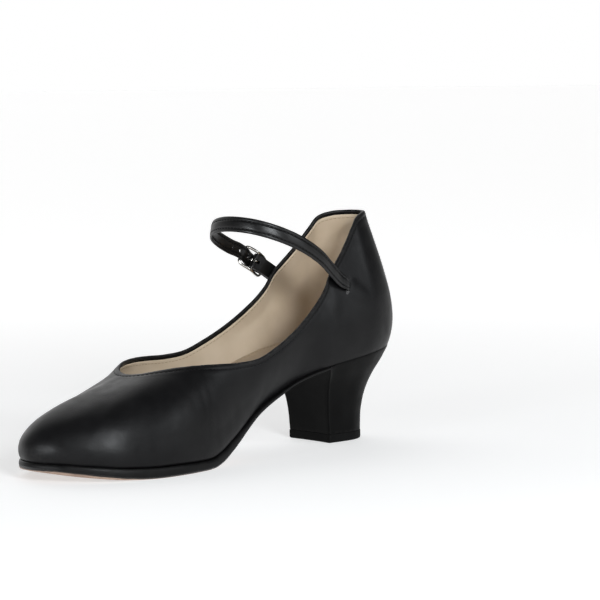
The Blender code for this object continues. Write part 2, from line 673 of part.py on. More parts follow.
def make_buckle(tab_finish, metal):
    """Frame with a centre bar, held by a folded tab, and a wire prong that turns on the same bar."""
    rise = [(x, FRAME_RISE * (abs(x) / FRAME_HALF_LENGTH)**1.5) for x in np.linspace(-1, 1, 9) * 6.4]
    corners = [(x, FRAME_HALF_WIDTH, z) for x, z in rise]
    corners += [(7.6, 4.9, FRAME_RISE), (FRAME_HALF_LENGTH, 3.6, FRAME_RISE)]
    corners += [(FRAME_HALF_LENGTH, -3.6, FRAME_RISE), (7.6, -4.9, FRAME_RISE)]
    corners += [(x, -FRAME_HALF_WIDTH, z) for x, z in rise[::-1]]
    corners += [(-7.6, -4.9, FRAME_RISE), (-FRAME_HALF_LENGTH, -3.6, FRAME_RISE)]
    corners += [(-FRAME_HALF_LENGTH, 3.6, FRAME_RISE), (-7.6, 4.9, FRAME_RISE)]
    frame = tube_piece("buckle_frame", placed(BUCKLE_FRAME, corners), FRAME_RADIUS, metal, closed=True)
    bar = [(0, y, 0) for y in (-FRAME_HALF_WIDTH, FRAME_HALF_WIDTH)]
    join(frame, tube_piece("centre_bar", placed(BUCKLE_FRAME, bar), BAR_RADIUS, metal))

    reach = BAR_RADIUS + 0.12 + PRONG_RADIUS
    wire = [(reach * math.cos(a), 0, reach * math.sin(a)) for a in np.radians(np.linspace(-115, 160, 14))]
    wire += [(-2.0, 0, 1.5), (-2.7, 0, 2.5), (-3.9, 0, 3.5), (-5.8, 0, 3.9), (-8.9, 0, 3.85)]
    tube_piece("buckle_prong", placed(BUCKLE_FRAME, wire), PRONG_RADIUS, metal, sides=8)

    inner, outer = BAR_RADIUS + 0.15, BAR_RADIUS + 0.15 + TAB_THICK
    loop = [(outer * math.cos(a), outer * math.sin(a)) for a in np.radians(np.linspace(20, 290, 13))]
    under = [(4, -2.4), (7, -2.6), (12, -2.7), (15.6, -2.75), (17, -3.1), (17.5, -3.55)]
    over = [(19.2, -3.55), (18.9, -2.7), (18.2, -1.9), (16.5, -1.3), (12, -1.2), (7, -1.15), (4, -0.9),
            (2.6, -0.3)]
    outline = loop + under + over
    sections = [placed(BUCKLE_FRAME, [(x, y, z) for x, z in outline]) for y in (-4, 4)]
    tab = swept_piece("buckle_tab", sections, tab_finish)
    eye_line = placed(BUCKLE_FRAME, [(0, y, 0) for y in (-5, 5)])
    eye = tube_piece("tab_eye", eye_line, inner, tab_finish, sides=HOLE_SIDES)
    cut(tab, eye)
    notch = frame_at(placed(BUCKLE_FRAME, (-0.6, 0, 0)), BUCKLE_FRAME[1][0], BUCKLE_FRAME[1][2])
    cut(tab, box_piece("tab_notch", notch, (5.6, 1.9, 6), tab_finish))


# The whole shoe

def clear_scene():
    for obj in list(bpy.data.objects):
        bpy.data.objects.remove(obj)


def stand_on_origin():
    """Moves every object so that the shoe stands on z = 0 with the middle of its box over the origin."""
    bpy.context.view_layer.update()
    corners = []
    depsgraph = bpy.context.evaluated_depsgraph_get()
    for made in pieces:
        mesh = made.evaluated_get(depsgraph).to_mesh()
        corners += [made.matrix_world @ vertex.co for vertex in mesh.vertices]
    low = [min(corner[k] for corner in corners) for k in range(3)]
    high = [max(corner[k] for corner in corners) for k in range(3)]
    shift = Vector((-(low[0] + high[0]) / 2, -(low[1] + high[1]) / 2, -low[2]))
    for made in bpy.data.objects:
        made.location += shift


def put_origin(name, point):
    """Moves an object's origin to a point in millimetres, leaving its shape where it is."""
    made = bpy.data.objects[name]
    offset = Vector(point) * MM
    for vertex in made.data.vertices:
        vertex.co -= offset
    made.location = offset


def build():
    clear_scene()
    black_leather = material("black_leather", (0.012, 0.011, 0.011), 0.42)
    lining_leather = material("lining_leather", (0.55, 0.46, 0.36), 0.7)
    sock_leather = material("sock_leather", (0.47, 0.37, 0.27), 0.65)
    foam = material("foam", (0.75, 0.72, 0.62), 0.9)
    fibreboard = material("fibreboard", (0.42, 0.31, 0.2), 0.85)
    stiffener_sheet = material("stiffener_sheet", (0.7, 0.66, 0.56), 0.8)
    filler_cork = material("filler_cork", (0.36, 0.22, 0.12), 0.9)
    sole_leather = material("sole_leather", (0.02, 0.018, 0.017), 0.5)
    suede = material("suede", (0.34, 0.23, 0.18), 0.95)
    heel_plastic = material("heel_plastic", (0.65, 0.62, 0.55), 0.6)
    rubber = material("rubber", (0.015, 0.015, 0.015), 0.7)
    steel = material("steel", (0.55, 0.55, 0.55), 0.3, 1.0)
    nickel = material("nickel", (0.7, 0.69, 0.66), 0.2, 1.0)

    make_upper(black_leather)
    make_lining(lining_leather)
    stiffener("heel_counter", -9, 9, stiffener_sheet)
    stiffener("toe_puff", 25, 35, stiffener_sheet)

    inner_edge = UPPER_THICK + STIFFENER_THICK + LINING_THICK + 4 * GAP
    base = UPPER_THICK + LAYER_GAP
    whole = np.arange(RINGS_AROUND // 2 + 1) / RINGS_AROUND
    board = flat_layer("insole_board", inner_edge, base, base + BOARD_THICK, whole, fibreboard)
    base += BOARD_THICK + LAYER_GAP
    flat_layer("insole_foam", inner_edge + 0.2, base, base + FOAM_THICK, whole, foam)
    base += FOAM_THICK + LAYER_GAP
    flat_layer("sock_liner", inner_edge + 0.2, base, base + SOCK_THICK, whole, sock_leather)
    flat_layer("forepart_filler", LASTING_MARGIN + GAP, 0.05, UPPER_THICK, turns_from(124), filler_cork)
    shank = make_shank(steel)

    make_outsole(sole_leather)
    make_sole_facing(suede)
    block = make_heel(heel_plastic, black_leather)
    top_piece = make_top_piece(rubber)
    make_top_piece_pins(top_piece, block, steel)
    make_heel_fasteners(board, shank, block, steel)
    make_shank_rivets(board, shank, steel)

    make_strap(black_leather)
    make_buckle(black_leather, nickel)
    put_origin("ankle_strap", SLIT_INNER)
    put_origin("buckle_frame", BUCKLE_CENTRE)
    put_origin("buckle_prong", BUCKLE_CENTRE)
    stand_on_origin()


build()
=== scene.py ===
"""Looks of the heeled dance shoe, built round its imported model.

Shapes are worked out in millimetres in the shoe's own coordinates: x runs from the back of the heel seat to
the toe, y to the inner side of the foot, z up from the floor. metres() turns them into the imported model's
frame.
"""

import json
import math

import bmesh
import bpy
import numpy as np
from mathutils import Matrix, Vector, noise


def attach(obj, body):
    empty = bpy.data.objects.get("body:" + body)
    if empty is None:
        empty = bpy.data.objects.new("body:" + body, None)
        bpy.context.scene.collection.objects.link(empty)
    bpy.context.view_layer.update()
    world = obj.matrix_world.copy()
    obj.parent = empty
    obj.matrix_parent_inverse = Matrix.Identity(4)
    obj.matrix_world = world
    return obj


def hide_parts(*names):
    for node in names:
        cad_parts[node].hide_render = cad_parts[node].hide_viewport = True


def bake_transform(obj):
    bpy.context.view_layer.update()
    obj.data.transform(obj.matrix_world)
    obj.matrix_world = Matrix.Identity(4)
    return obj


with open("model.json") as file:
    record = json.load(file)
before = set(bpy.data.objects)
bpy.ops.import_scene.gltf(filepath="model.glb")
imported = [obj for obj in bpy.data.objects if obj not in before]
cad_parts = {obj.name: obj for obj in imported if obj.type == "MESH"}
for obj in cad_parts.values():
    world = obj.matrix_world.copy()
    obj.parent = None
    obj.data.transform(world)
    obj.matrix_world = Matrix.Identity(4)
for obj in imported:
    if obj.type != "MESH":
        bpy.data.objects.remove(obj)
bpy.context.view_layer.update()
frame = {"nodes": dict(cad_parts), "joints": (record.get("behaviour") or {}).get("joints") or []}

MM = 0.001

# Layers of the shoe
UPPER_THICK = 1.2
RIM_RADIUS = 0.85
STIFFENER_THICK = 0.9
LINING_THICK = 0.7
GAP = 0.3
FACING_THICK = 1.0
FACING_START = 120.0
SOCK_TOP = 7.05
TOP_PIECE_THICK = 4.7
COVER_THICK = 1.0
BREAST_X = 59.0

# Outer edge of the sole in plan
SOLE_INNER = [(0.5, 0), (2.9, 10.4), (9.8, 19.6), (22.5, 25.2), (40, 26.6), (59, 25.8), (85, 23.8),
              (108, 25.2), (132, 31.6), (155, 37.4), (174, 39.4), (193, 37.6), (210, 31.4), (224, 21.9),
              (234, 10.5)]
SOLE_TOE = (238, 0)
SOLE_OUTER = [(235.6, -10.5), (228.3, -20.9), (215.5, -30.5), (198.6, -37.1), (178.8, -40), (160, -39.5),
              (141, -35.2), (117.6, -29.2), (94, -26.2), (70.5, -25.8), (40, -26.4), (22.5, -25),
              (9.8, -19.6), (2.9, -10.4)]

# Heights along the sole: the walking face, and the edge where the upper turns under
WALKING_HEIGHT = [(0, 48), (30, 44.5), (59, 40.8), (66, 39.5), (80, 35.6), (93, 30), (108, 22.8),
                  (121, 14.7), (133, 6.9), (143, 1.9), (150, 0.3), (157, 0), (184, 0), (205, 0.8),
                  (222, 2.8), (238.6, 5.6)]
FEATHER_HEIGHT = [(0, 50.4), (20, 48), (38, 45.4), (59, 42.4), (66, 41.2), (80, 37.3), (93, 32.1),
                  (108, 25.4), (121, 18.6), (133, 12.2), (143, 7.4), (151, 5.2), (158, 4.9), (184, 4.9),
                  (205, 5.9), (222, 8.1), (238.6, 11.2)]
FEATHER_INSET = [(0, 1.2), (0.25, 1.4), (0.4, 2.2), (0.85, 2.2), (1, 1.9)]

# Top edge of the upper on its inner side, from the back to the throat; the outer side mirrors it
TOPLINE = [(11.5, 0, 121.8), (15, 7.5, 121.8), (22, 12.6, 121.2), (29.4, 15.7, 118.6),
           (34.2, 17, 113.2), (39.2, 18.4, 107.3), (44.6, 19.8, 101.4), (50.6, 21.2, 95.6),
           (56.6, 22.6, 89.5), (60.4, 23.4, 83.4), (65.2, 24.2, 78.2), (74.7, 25.8, 70.6),
           (85.7, 27.5, 63.4), (100.8, 29.2, 56), (113.4, 30, 51.5), (127, 29.6, 50.4),
           (140, 28.3, 50.9), (151, 25.6, 51.2), (161, 21.4, 50.8), (169, 15.8, 49.6),
           (174.6, 8.6, 48), (176.6, 0, 47.2)]
TOPLINE_SHARE = [(0, 0), (0.12, 0.1), (0.22, 0.24), (0.32, 0.42), (0.42, 0.56), (0.52, 0.69), (0.6, 0.78),
                 (0.7, 0.855), (0.8, 0.91), (0.9, 0.955), (1, 1)]

# How far each wall line pulls out and up from its foot, and out and down from its top
FOOT_OUT = [(0, 9.5), (0.1, 9.5), (0.22, 6.5), (0.36, 4), (0.5, 4), (0.62, 5), (0.75, 5.2), (0.9, 6.4),
            (1, 8.4)]
FOOT_UP = [(0, 20), (0.1, 19), (0.2, 15), (0.35, 9), (0.5, 8.5), (0.62, 14), (0.75, 17.5), (0.9, 19.5),
           (1, 21.8)]
TOP_OUT = [(0, 5), (0.1, 8), (0.2, 6.5), (0.3, 4), (0.4, 1.8), (0.5, 1.5), (0.6, 6), (0.7, 12), (0.8, 19),
           (0.9, 29), (1, 35)]
TOP_DOWN = [(0, 24), (0.1, 23), (0.2, 19), (0.35, 9), (0.5, 7), (0.6, 8), (0.7, 7), (0.85, 7.2), (1, 9.6)]
OUTER_SIDE_DROP = [(0, 0), (0.5, 0), (0.66, 5), (0.82, 12), (0.93, 7.5), (1, 0)]

# Creases where the foot bends, over the middle of the vamp: place and depth
CREASES = [(160, 0.06), (166.5, 0.08), (174, 0.05)]

# Heel, as shares of its height: back edge, half width and breast
HEEL_BACK = [(0, 19.7), (0.2, 19.2), (0.4, 17.4), (0.55, 14.7), (0.7, 10.6), (0.85, 5.4), (1, 1)]
HEEL_HALF_WIDTH = [(0, 16), (0.2, 16.1), (0.4, 16.8), (0.55, 18), (0.7, 20), (0.85, 23), (1, 26)]
HEEL_BREAST = [(0, 51), (0.4, 52.6), (0.75, 55.6), (1, BREAST_X)]
TOP_PIECE_PROFILE = [(1.1, 0), (0.6, 0.12), (0.22, 0.42), (0.05, 0.85), (0, 1.4), (0, 4.4), (0.03, 4.6),
                     (0.14, 4.69), (0.4, 4.72)]
TOP_PIECE_PINS = [(26, 0), (43, 9), (43, -9)]

# Ankle strap and buckle. Holes have a place along the buckle and a stretch, and slits a length, width and
# depth. STRAP_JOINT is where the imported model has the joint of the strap.
STRAP_ROUTE = [(45.3, 24, 84.7), (45.7, 25.3, 84.9), (47.4, 26.2, 85.8), (51, 26.2, 87.7),
               (58, 27.2, 92.8), (69.5, 29.2, 101.3), (84, 29.6, 109.1), (97, 26.2, 114.8),
               (105.6, 18.5, 118.2), (109.4, 8, 119.4), (109, -3, 118.9), (105.2, -14, 116.6),
               (98.8, -22, 113.4), (90, -27.2, 109.4), (80, -29.5, 105)]
STRAP_TAIL = [(-10, 0.1), (-8, 0.1), (-6.6, 0.45), (-5, 1.3), (-2.6, 2.5), (0, 3.05), (2.6, 2.5), (5, 1.3),
              (6.6, 0.45), (8, 0.1), (10, 0.1), (14, 0.15), (20, 0.5), (27, 1.5)]
STRAP_WIDTH = 8.0
STRAP_THICK = 1.4
STRAP_LEAN = 0.17
STRAP_SEAM = STRAP_WIDTH / 2 - 1.85
STRAP_HOLES = [(-18.5, 1), (-11.5, 1), (-2.5, 1.8), (13.5, 1), (20.5, 1)]
ANKLE_AXIS = (46, 0)
BUCKLE_CENTRE = (62.5, -29.4, 95.9)
BUCKLE_ALONG = (-15, 2.2, -10.2)
STRAP_JOINT = (44.3, 25, 84.7)
TAB_SLIT = (18.1, 0, -3.4)
INNER_SLIT_SIZE = (7.2, 2.3, 2.6)
OUTER_SLIT_SIZE = (8.8, 2.6, 2.6)
TAB_THICK = 0.8
TAB_HALF_WIDTH = 4.0
BAR_RADIUS = 0.75
FRAME_RADIUS = 0.8
FRAME_HALF_LENGTH = 8.0
FRAME_HALF_WIDTH = 5.4
FRAME_RISE = 2.2
PRONG_RADIUS = 0.55

# Fineness of the meshes: columns round the shoe, rows down its wall, and the distances of the closely spaced
# rows under the top edge
TURNS = 420
WALL_ROWS = 48
EDGE_ROWS = np.linspace(0.05, 6.5, 20)

# Stitches: distance under the top edge, pitch, and points round the shoe of the line that they follow
STITCH_DOWN = 2.3
STITCH_PITCH = 2.4
SEWN_TURNS = 1600

JOINTS = {joint["name"]: joint for joint in frame["joints"]}
ORIGIN = np.array(JOINTS["strap_swing"]["pos_m"]) - np.array(STRAP_JOINT) * MM


def metres(points):
    """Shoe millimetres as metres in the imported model's frame."""
    return np.asarray(points, float) * MM + ORIGIN


# Curves and surfaces

def slopes(knots, values, level_ends):
    """Slope at each knot that keeps a table free of overshoot."""
    step = np.diff(knots)
    rise = np.diff(values) / step
    tangent = np.zeros(len(knots))
    if not level_ends:
        tangent[0], tangent[-1] = rise[0], rise[-1]
    for i in range(1, len(knots) - 1):
        if rise[i - 1] * rise[i] > 0:
            left, right = 2 * step[i] + step[i - 1], step[i] + 2 * step[i - 1]
            tangent[i] = (left + right) / (left / rise[i - 1] + right / rise[i])
    return tangent


def hermite(at, knots, values, tangent):
    """Cubic curve through the values with the given slopes."""
    i = np.clip(np.searchsorted(knots, at, side="right") - 1, 0, len(knots) - 2)
    step = knots[i + 1] - knots[i]
    t = np.clip((at - knots[i]) / step, 0, 1)
    rest = 1 - t
    weights = [rest**2 * (1 + 2 * t), rest**2 * t * step, t**2 * (3 - 2 * t), -t**2 * rest * step]
    if values.ndim == 2:
        weights = [weight[..., None] for weight in weights]
    terms = values[i], tangent[i], values[i + 1], tangent[i + 1]
    return sum(weight * term for weight, term in zip(weights, terms))


def graph(table, at, level_ends=False):
    """Value of a two-column table, smooth and without overshoot."""
    knots, values = np.array(table, float).T
    return hermite(np.asarray(at, float), knots, values, slopes(knots, values, level_ends))


def path_through(points, closed=False):
    """Smooth path through points, as a function of the distance between them, and its knots."""
    points = np.array(points, float)
    ring = np.vstack([points[-1:], points, points[:2]]) if closed else points
    gap = np.linalg.norm(np.diff(ring, axis=0), axis=1)
    rise = np.diff(ring, axis=0) / gap[:, None]
    middle = (rise[:-1] * gap[1:, None] + rise[1:] * gap[:-1, None]) / (gap[1:] + gap[:-1])[:, None]
    if closed:
        points, tangent, gap = ring[1:-1], middle, gap[1:-1]
    else:
        tangent = np.vstack([1.5 * rise[:1] - 0.5 * middle[:1], middle, 1.5 * rise[-1:] - 0.5 * middle[-1:]])
    knots = np.concatenate([[0], np.cumsum(gap)])
    return (lambda at: hermite(np.asarray(at, float), knots, points, tangent)), knots


def evenly(points, count, closed=False):
    """Points at even steps along the smooth path through these."""
    path, knots = path_through(points, closed)
    return path(np.linspace(0, knots[-1], count))


sole_path, sole_knots = path_through(SOLE_INNER + [SOLE_TOE] + SOLE_OUTER, closed=True)
TOE_DISTANCE = sole_knots[len(SOLE_INNER)]
top_path, top_knots = path_through(TOPLINE + [(x, -y, z) for x, y, z in TOPLINE[-2:0:-1]], closed=True)
THROAT_DISTANCE = top_knots[len(TOPLINE) - 1]


def unit(vectors):
    return vectors / np.linalg.norm(vectors, axis=-1, keepdims=True)


def leftward(ahead):
    """Level direction to the left of a direction of travel."""
    return unit(np.stack([-ahead[..., 1], ahead[..., 0]], -1))


def ease(value, start, end):
    """0 before start, 1 after end, smooth between."""
    t = np.clip((np.asarray(value, float) - start) / (end - start), 0, 1)
    return t * t * (3 - 2 * t)


def bump(value, centre, width):
    """Smooth hump of height 1."""
    return np.exp(-((np.asarray(value, float) - centre) / width)**2)


def squarer(value, power):
    """Power of a value that keeps its sign."""
    return np.sign(value) * np.abs(value)**power


def half_turn(turn):
    """Share of the way from back to front, on either side."""
    return 1 - np.abs(1 - 2 * np.asarray(turn, float))


def sole_edge(turn, inset=0.0):
    """Plan point of the sole's edge, moved in, and the way outward. turn is 0 at the back, 0.5 at the toe."""
    def at(where):
        along = np.where(where <= 0.5, 2 * where * TOE_DISTANCE,
                         sole_knots[-1] - 2 * (1 - where) * (sole_knots[-1] - TOE_DISTANCE))
        return sole_path(along % sole_knots[-1])
    turn = np.asarray(turn, float)
    outward = leftward(at(turn + 0.002) - at(turn - 0.002))
    return at(turn) - outward * np.asarray(inset)[..., None], outward


def feather_edge(turn, inset=0.0):
    """The same for the edge where the upper turns under."""
    return sole_edge(turn, graph(FEATHER_INSET, half_turn(turn), True) + inset)


def seat_height(x):
    """Height of the sole's top under the foot."""
    return graph(FEATHER_HEIGHT, x)


def walking_height(x):
    return graph(WALKING_HEIGHT, x)


def edge_height(x):
    """Height of the crease between upper and sole: above the seat at the ball, below it at the toe."""
    return seat_height(x) + 0.6 * ease(x, 150, 185) * (1 - ease(x, 212, 232)) - 1.2 * ease(x, 227, 238)


def wall(turn, rise):
    """Point on the upper's outer face. rise is 0 at the sole and 1 at the top edge."""
    turn, rise = np.broadcast_arrays(np.asarray(turn, float) % 1.0, np.asarray(rise, float))
    share = half_turn(turn)
    outer_side = np.where(turn > 0.5, graph(OUTER_SIDE_DROP, share, True), 0)
    foot, outward = feather_edge(turn)
    foot = np.concatenate([foot, edge_height(foot[..., 0])[..., None]], -1)
    along = graph(TOPLINE_SHARE, share) * THROAT_DISTANCE
    along = np.where(turn <= 0.5, along, top_knots[-1] - along) % top_knots[-1]
    top = top_path(along)
    ahead = top_path((along + 0.5) % top_knots[-1]) - top_path((along - 0.5) % top_knots[-1])
    low, high = foot.copy(), top.copy()
    low[..., :2] += outward * graph(FOOT_OUT, share, True)[..., None]
    low[..., 2] += graph(FOOT_UP, share, True) - 0.3 * outer_side
    high[..., :2] += leftward(ahead) * graph(TOP_OUT, share, True)[..., None]
    high[..., 2] -= graph(TOP_DOWN, share, True) + outer_side
    t = rise[..., None]
    return foot * (1 - t)**3 + 3 * low * t * (1 - t)**2 + 3 * high * t**2 * (1 - t) + top * t**3


def wall_axes(turn, rise):
    """Directions into the shoe and up along the wall."""
    turn, rise = np.broadcast_arrays(np.asarray(turn, float), np.asarray(rise, float))
    across = wall(turn + 0.002, rise) - wall(turn - 0.002, rise)
    upward = wall(turn, np.clip(rise + 0.01, 0, 1)) - wall(turn, np.clip(rise - 0.01, 0, 1))
    return unit(np.cross(across, upward)), unit(upward)


def under_wall(turn, rise, depth):
    """Point this far under the upper's outer face."""
    inward, _ = wall_axes(turn, rise)
    return wall(turn, rise) + inward * np.asarray(depth)[..., None]


def rises_from_top(turns, near, rows_below, foot=0.0):
    """Rises at these distances under the top edge, then down to the foot in shrinking steps. Also returns the
    distances."""
    rises = np.linspace(foot, 1, 241)
    points = wall(turns[:, None], rises[None, :])
    step = np.linalg.norm(np.diff(points, axis=1), axis=2)
    below = np.concatenate([np.cumsum(step[:, ::-1], 1)[:, ::-1], np.zeros((len(turns), 1))], 1)
    found, distances = [], []
    for distance in below:
        rest = near[-1] + (distance[0] - near[-1]) * (1 - np.linspace(1, 0, rows_below + 1)[1:]**1.7)
        wanted = np.concatenate([near, rest])
        found.append(np.interp(wanted, distance[::-1], rises[::-1]))
        distances.append(wanted)
    return np.array(found), np.array(distances)


def rise_at_height(turns, height):
    """Rise at this height above the wall's foot."""
    rises = np.linspace(0, 0.6, 121)
    heights = wall(turns[:, None], rises[None, :])[..., 2]
    heights = heights - heights[:, :1]
    return np.array([np.interp(height, row, rises) for row in heights])


def stiffened(turn, rise):
    """1 where a stiffener lies between upper and lining."""
    share = half_turn(turn)
    return (1 - ease(share, 0.3, 0.36) + ease(share, 0.76, 0.82)) * (1 - ease(rise, 0.5, 0.72))


def lining_depth(turn, rise):
    """Depth of the lining's outer face under the upper's outer face."""
    return UPPER_THICK + GAP + (STIFFENER_THICK + GAP) * stiffened(turn, rise)


def frame_at(centre, along, outward):
    """Centre, and the axes along, across and outward as rows."""
    along = unit(np.array(along, float))
    outward = unit(np.array(outward, float) - np.dot(outward, along) * along)
    return np.array(centre, float), np.array([along, np.cross(outward, along), outward])


def placed(local, points):
    """Points given along, across and outward from the frame's centre."""
    centre, axes = local
    return centre + np.asarray(points, float) @ axes


BUCKLE_FRAME = frame_at(BUCKLE_CENTRE, BUCKLE_ALONG, (0, -1, 0))
INNER_SLIT = frame_at((45.4, 25, 84.8), (1, 0, 0.12), (0, 1, 0))
OUTER_SLIT = (placed(BUCKLE_FRAME, TAB_SLIT), BUCKLE_FRAME[1])


def unevenness(points, size, seed):
    """Smooth value from about -1 to 1, with lumps of this size."""
    flat = np.asarray(points, float).reshape(-1, 3) / size + seed
    return np.array([noise.noise(Vector(p)) for p in flat]).reshape(np.shape(points)[:-1])


# Meshes

def shape(name, points, faces, finish, sharp=40, marks=None):
    """Object from points in millimetres. marks gives named values for each point."""
    mesh = bpy.data.meshes.new(name)
    mesh.from_pydata(metres(points).reshape(-1, 3).tolist(), [], faces)
    for mark, values in (marks or {}).items():
        attribute = mesh.attributes.new(mark, "FLOAT", "POINT")
        attribute.data.foreach_set("value", np.asarray(values, np.float32).ravel())
    work = bmesh.new()
    work.from_mesh(mesh)
    bmesh.ops.remove_doubles(work, verts=work.verts, dist=2e-6)
    bmesh.ops.dissolve_degenerate(work, edges=work.edges, dist=2e-6)
    bmesh.ops.recalc_face_normals(work, faces=work.faces)
    work.to_mesh(mesh)
    work.free()
    mesh.materials.append(finish)
    smooth(mesh, sharp)
    return put(name, mesh)


def put(name, data):
    """New object in the scene."""
    made = bpy.data.objects.new(name, data)
    bpy.context.scene.collection.objects.link(made)
    return made


def smooth(mesh, sharp):
    mesh.shade_smooth()
    mesh.set_sharp_from_angle(angle=math.radians(sharp))


def loft(sections, ring):
    """Faces between sections, which are loops of points. A ring joins its last section to its first."""
    rows, columns = len(sections), len(sections[0])
    here = np.arange(rows * columns).reshape(rows, columns)
    after = np.roll(here, -1, 0)
    quads = np.stack([here, after, np.roll(after, -1, 1), np.roll(here, -1, 1)], -1)
    if ring:
        return quads.reshape(-1, 4).tolist()
    return quads[:-1].reshape(-1, 4).tolist() + here[[0, -1]].tolist()


def lofted(name, sections, finish, ring=False, sharp=40, marks=None):
    sections = np.asarray(sections, float)
    return shape(name, sections, loft(sections, ring), finish, sharp, marks)


def across_loop(inner, outer, count):
    """Loop round a layer from its two edges, each listed from the top down."""
    share = np.linspace(0, 1, count + 2)[1:-1, None]
    below = inner[-1] * (1 - share) + outer[-1] * share
    above = outer[0] * (1 - share) + inner[0] * share
    return np.vstack([inner, below, outer[::-1], above])


def layer(name, turns, column, finish, count, marks=None):
    """Layer of the sole. column gives its edge's points at a turn."""
    sections = np.array([across_loop(column(t), column((1 - t) % 1), count) for t in turns])
    values = {mark: value(sections) for mark, value in (marks or {}).items()}
    return lofted(name, sections, finish, marks=values)


def circle(radius, count, stretch=1.0):
    """Points round a circle, or an ellipse this much longer than wide."""
    angles = np.arange(count) * 2 * math.pi / count
    return radius * np.column_stack([stretch * np.cos(angles), np.sin(angles)])


def tube(path, radius, sides=16, closed=False):
    """Sections of a round bar along a path. radius is one value or one for each point."""
    path = np.asarray(path, float)
    ahead = unit(np.roll(path, -1, 0) - np.roll(path, 1, 0) if closed else np.gradient(path, axis=0))
    radius = np.broadcast_to(radius, len(path))
    side = np.cross(ahead[0], (0.31, 0.53, 0.79))
    sections = []
    for point, direction, size in zip(path, ahead, radius):
        side = unit(side - np.dot(side, direction) * direction)
        sections.append(point + circle(size, sides) @ [side, np.cross(direction, side)])
    return np.array(sections)


def carve(target, cutters, sharp=40):
    """Cuts the cutters out of the target."""
    for cutter in cutters:
        taken = target.modifiers.new(cutter.name, "BOOLEAN")
        taken.operation = "DIFFERENCE"
        taken.object = cutter
    cut = target.evaluated_get(bpy.context.evaluated_depsgraph_get())
    target.data = bpy.data.meshes.new_from_object(cut)
    target.modifiers.clear()
    smooth(target.data, sharp)
    for cutter in cutters:
        bpy.data.objects.remove(cutter)


def prism(name, local, outline, low, high):
    """Cutter with this outline along and across the frame, between two levels."""
    sections = [placed(local, np.column_stack([outline, np.full(len(outline), z)])) for z in (low, high)]
    return lofted(name, sections, CUTTER)


def slot_cutter(name, local, length, width, depth):
    """Cutter with round ends, its length across the frame."""
    end = circle(width / 2, 16)[:9] + (0, (length - width) / 2)
    return prism(name, local, np.vstack([end, -end]), -depth, depth)


def stitch(start, end, outward, radius=0.21, sink=0.3):
    """Sections of a stitch that comes out of the leather and goes back in."""
    share = np.array([0, 0.08, 0.22, 0.5, 0.78, 0.92, 1])
    lift = np.array([-sink, 0, 0.1, 0.14, 0.1, 0, -sink])
    line = start + (end - start) * share[:, None] + outward * lift[:, None]
    return tube(line, radius * np.array([0.5, 0.85, 1, 1, 1, 0.85, 0.5]), 8)


def stitch_row(line, outward, pitch=STITCH_PITCH, fill=0.8, closed=False, radius=0.21):
    """Stitches along a dense line, with the outward direction at each point."""
    if closed:
        line, outward = (np.vstack([rows, rows[:1]]) for rows in (line, outward))
    along = np.concatenate([[0], np.cumsum(np.linalg.norm(np.diff(line, axis=0), axis=1))])
    step = along[-1] / max(1, round(along[-1] / pitch))
    row = []
    for middle in np.arange(step / 2, along[-1], step):
        ends = middle + np.array([-0.5, 0.5]) * fill * step
        points = np.stack([np.interp(ends, along, column) for column in line.T], -1)
        out = unit(np.array([np.interp(middle, along, column) for column in outward.T]))
        row.append(stitch(*points, out, radius))
    return row


def sewn(name, stitches, finish):
    """One object of all these stitches."""
    first = np.arange(len(stitches)) * stitches[0][..., 0].size
    faces = [[start + k for k in face] for start in first for face in loft(stitches[0], False)]
    return shape(name, stitches, faces, finish, 60)


# Materials

def new_material(name, **sockets):
    """Material with these values on its shader's own sockets, and its tree."""
    made = bpy.data.materials.new(name)
    made.use_nodes = True
    shader = made.node_tree.nodes["Principled BSDF"]
    for socket, value in sockets.items():
        shader.inputs[socket.replace("_", " ")].default_value = value
    return made, made.node_tree


def feed(tree, socket, value):
    """Gives a socket a value or another node's output."""
    if isinstance(value, bpy.types.NodeSocket):
        tree.links.new(value, socket)
    else:
        socket.default_value = value


def add(tree, kind, settings=None, *inputs, **named):
    """Node with its settings, and its inputs in order or by name."""
    node = tree.nodes.new("ShaderNode" + kind)
    for setting, value in (settings or {}).items():
        setattr(node, setting, value)
    for number, value in enumerate(inputs):
        feed(tree, node.inputs[number], value)
    for socket, value in named.items():
        feed(tree, node.inputs[socket.replace("_", " ")], value)
    return node


def maths(tree, operation, *values):
    return add(tree, "Math", {"operation": operation}, *values).outputs[0]


def place_of(tree, stretch=(1, 1, 1)):
    """Position on the piece, in millimetres."""
    where = add(tree, "TexCoord").outputs["Object"]
    return add(tree, "Mapping", Vector=where, Scale=[1000 * k for k in stretch]).outputs["Vector"]


def cloudy(tree, where, size, detail=2.0, distortion=0.0):
    """Noise with lumps of this size in millimetres."""
    return add(tree, "TexNoise", Vector=where, Scale=1 / size, Detail=detail,
               Distortion=distortion).outputs["Fac"]


def cells(tree, where, size):
    """Rounded cells of this size in millimetres."""
    pattern = add(tree, "TexVoronoi", {"feature": "SMOOTH_F1"}, Vector=where, Scale=1 / size)
    return pattern.outputs["Distance"]


def spread(tree, value, low=0, high=1, start=0.3, end=0.7):
    """Maps a noise value to a range."""
    return add(tree, "MapRange", Value=value, From_Min=start, From_Max=end, To_Min=low,
               To_Max=high).outputs["Result"]


def sums(tree, first, second, weight):
    """first + second * weight."""
    return maths(tree, "MULTIPLY_ADD", second, weight, first)


def blended(tree, factor, first, second):
    """Colour between two colours, each a colour or another node's output."""
    node = add(tree, "Mix", {"data_type": "RGBA"}, factor)
    for number, colour in ((6, first), (7, second)):
        feed(tree, node.inputs[number], (*colour, 1) if isinstance(colour, tuple) else colour)
    return node.outputs[2]


def mark_of(tree, name):
    return add(tree, "Attribute", {"attribute_name": name}).outputs["Fac"]


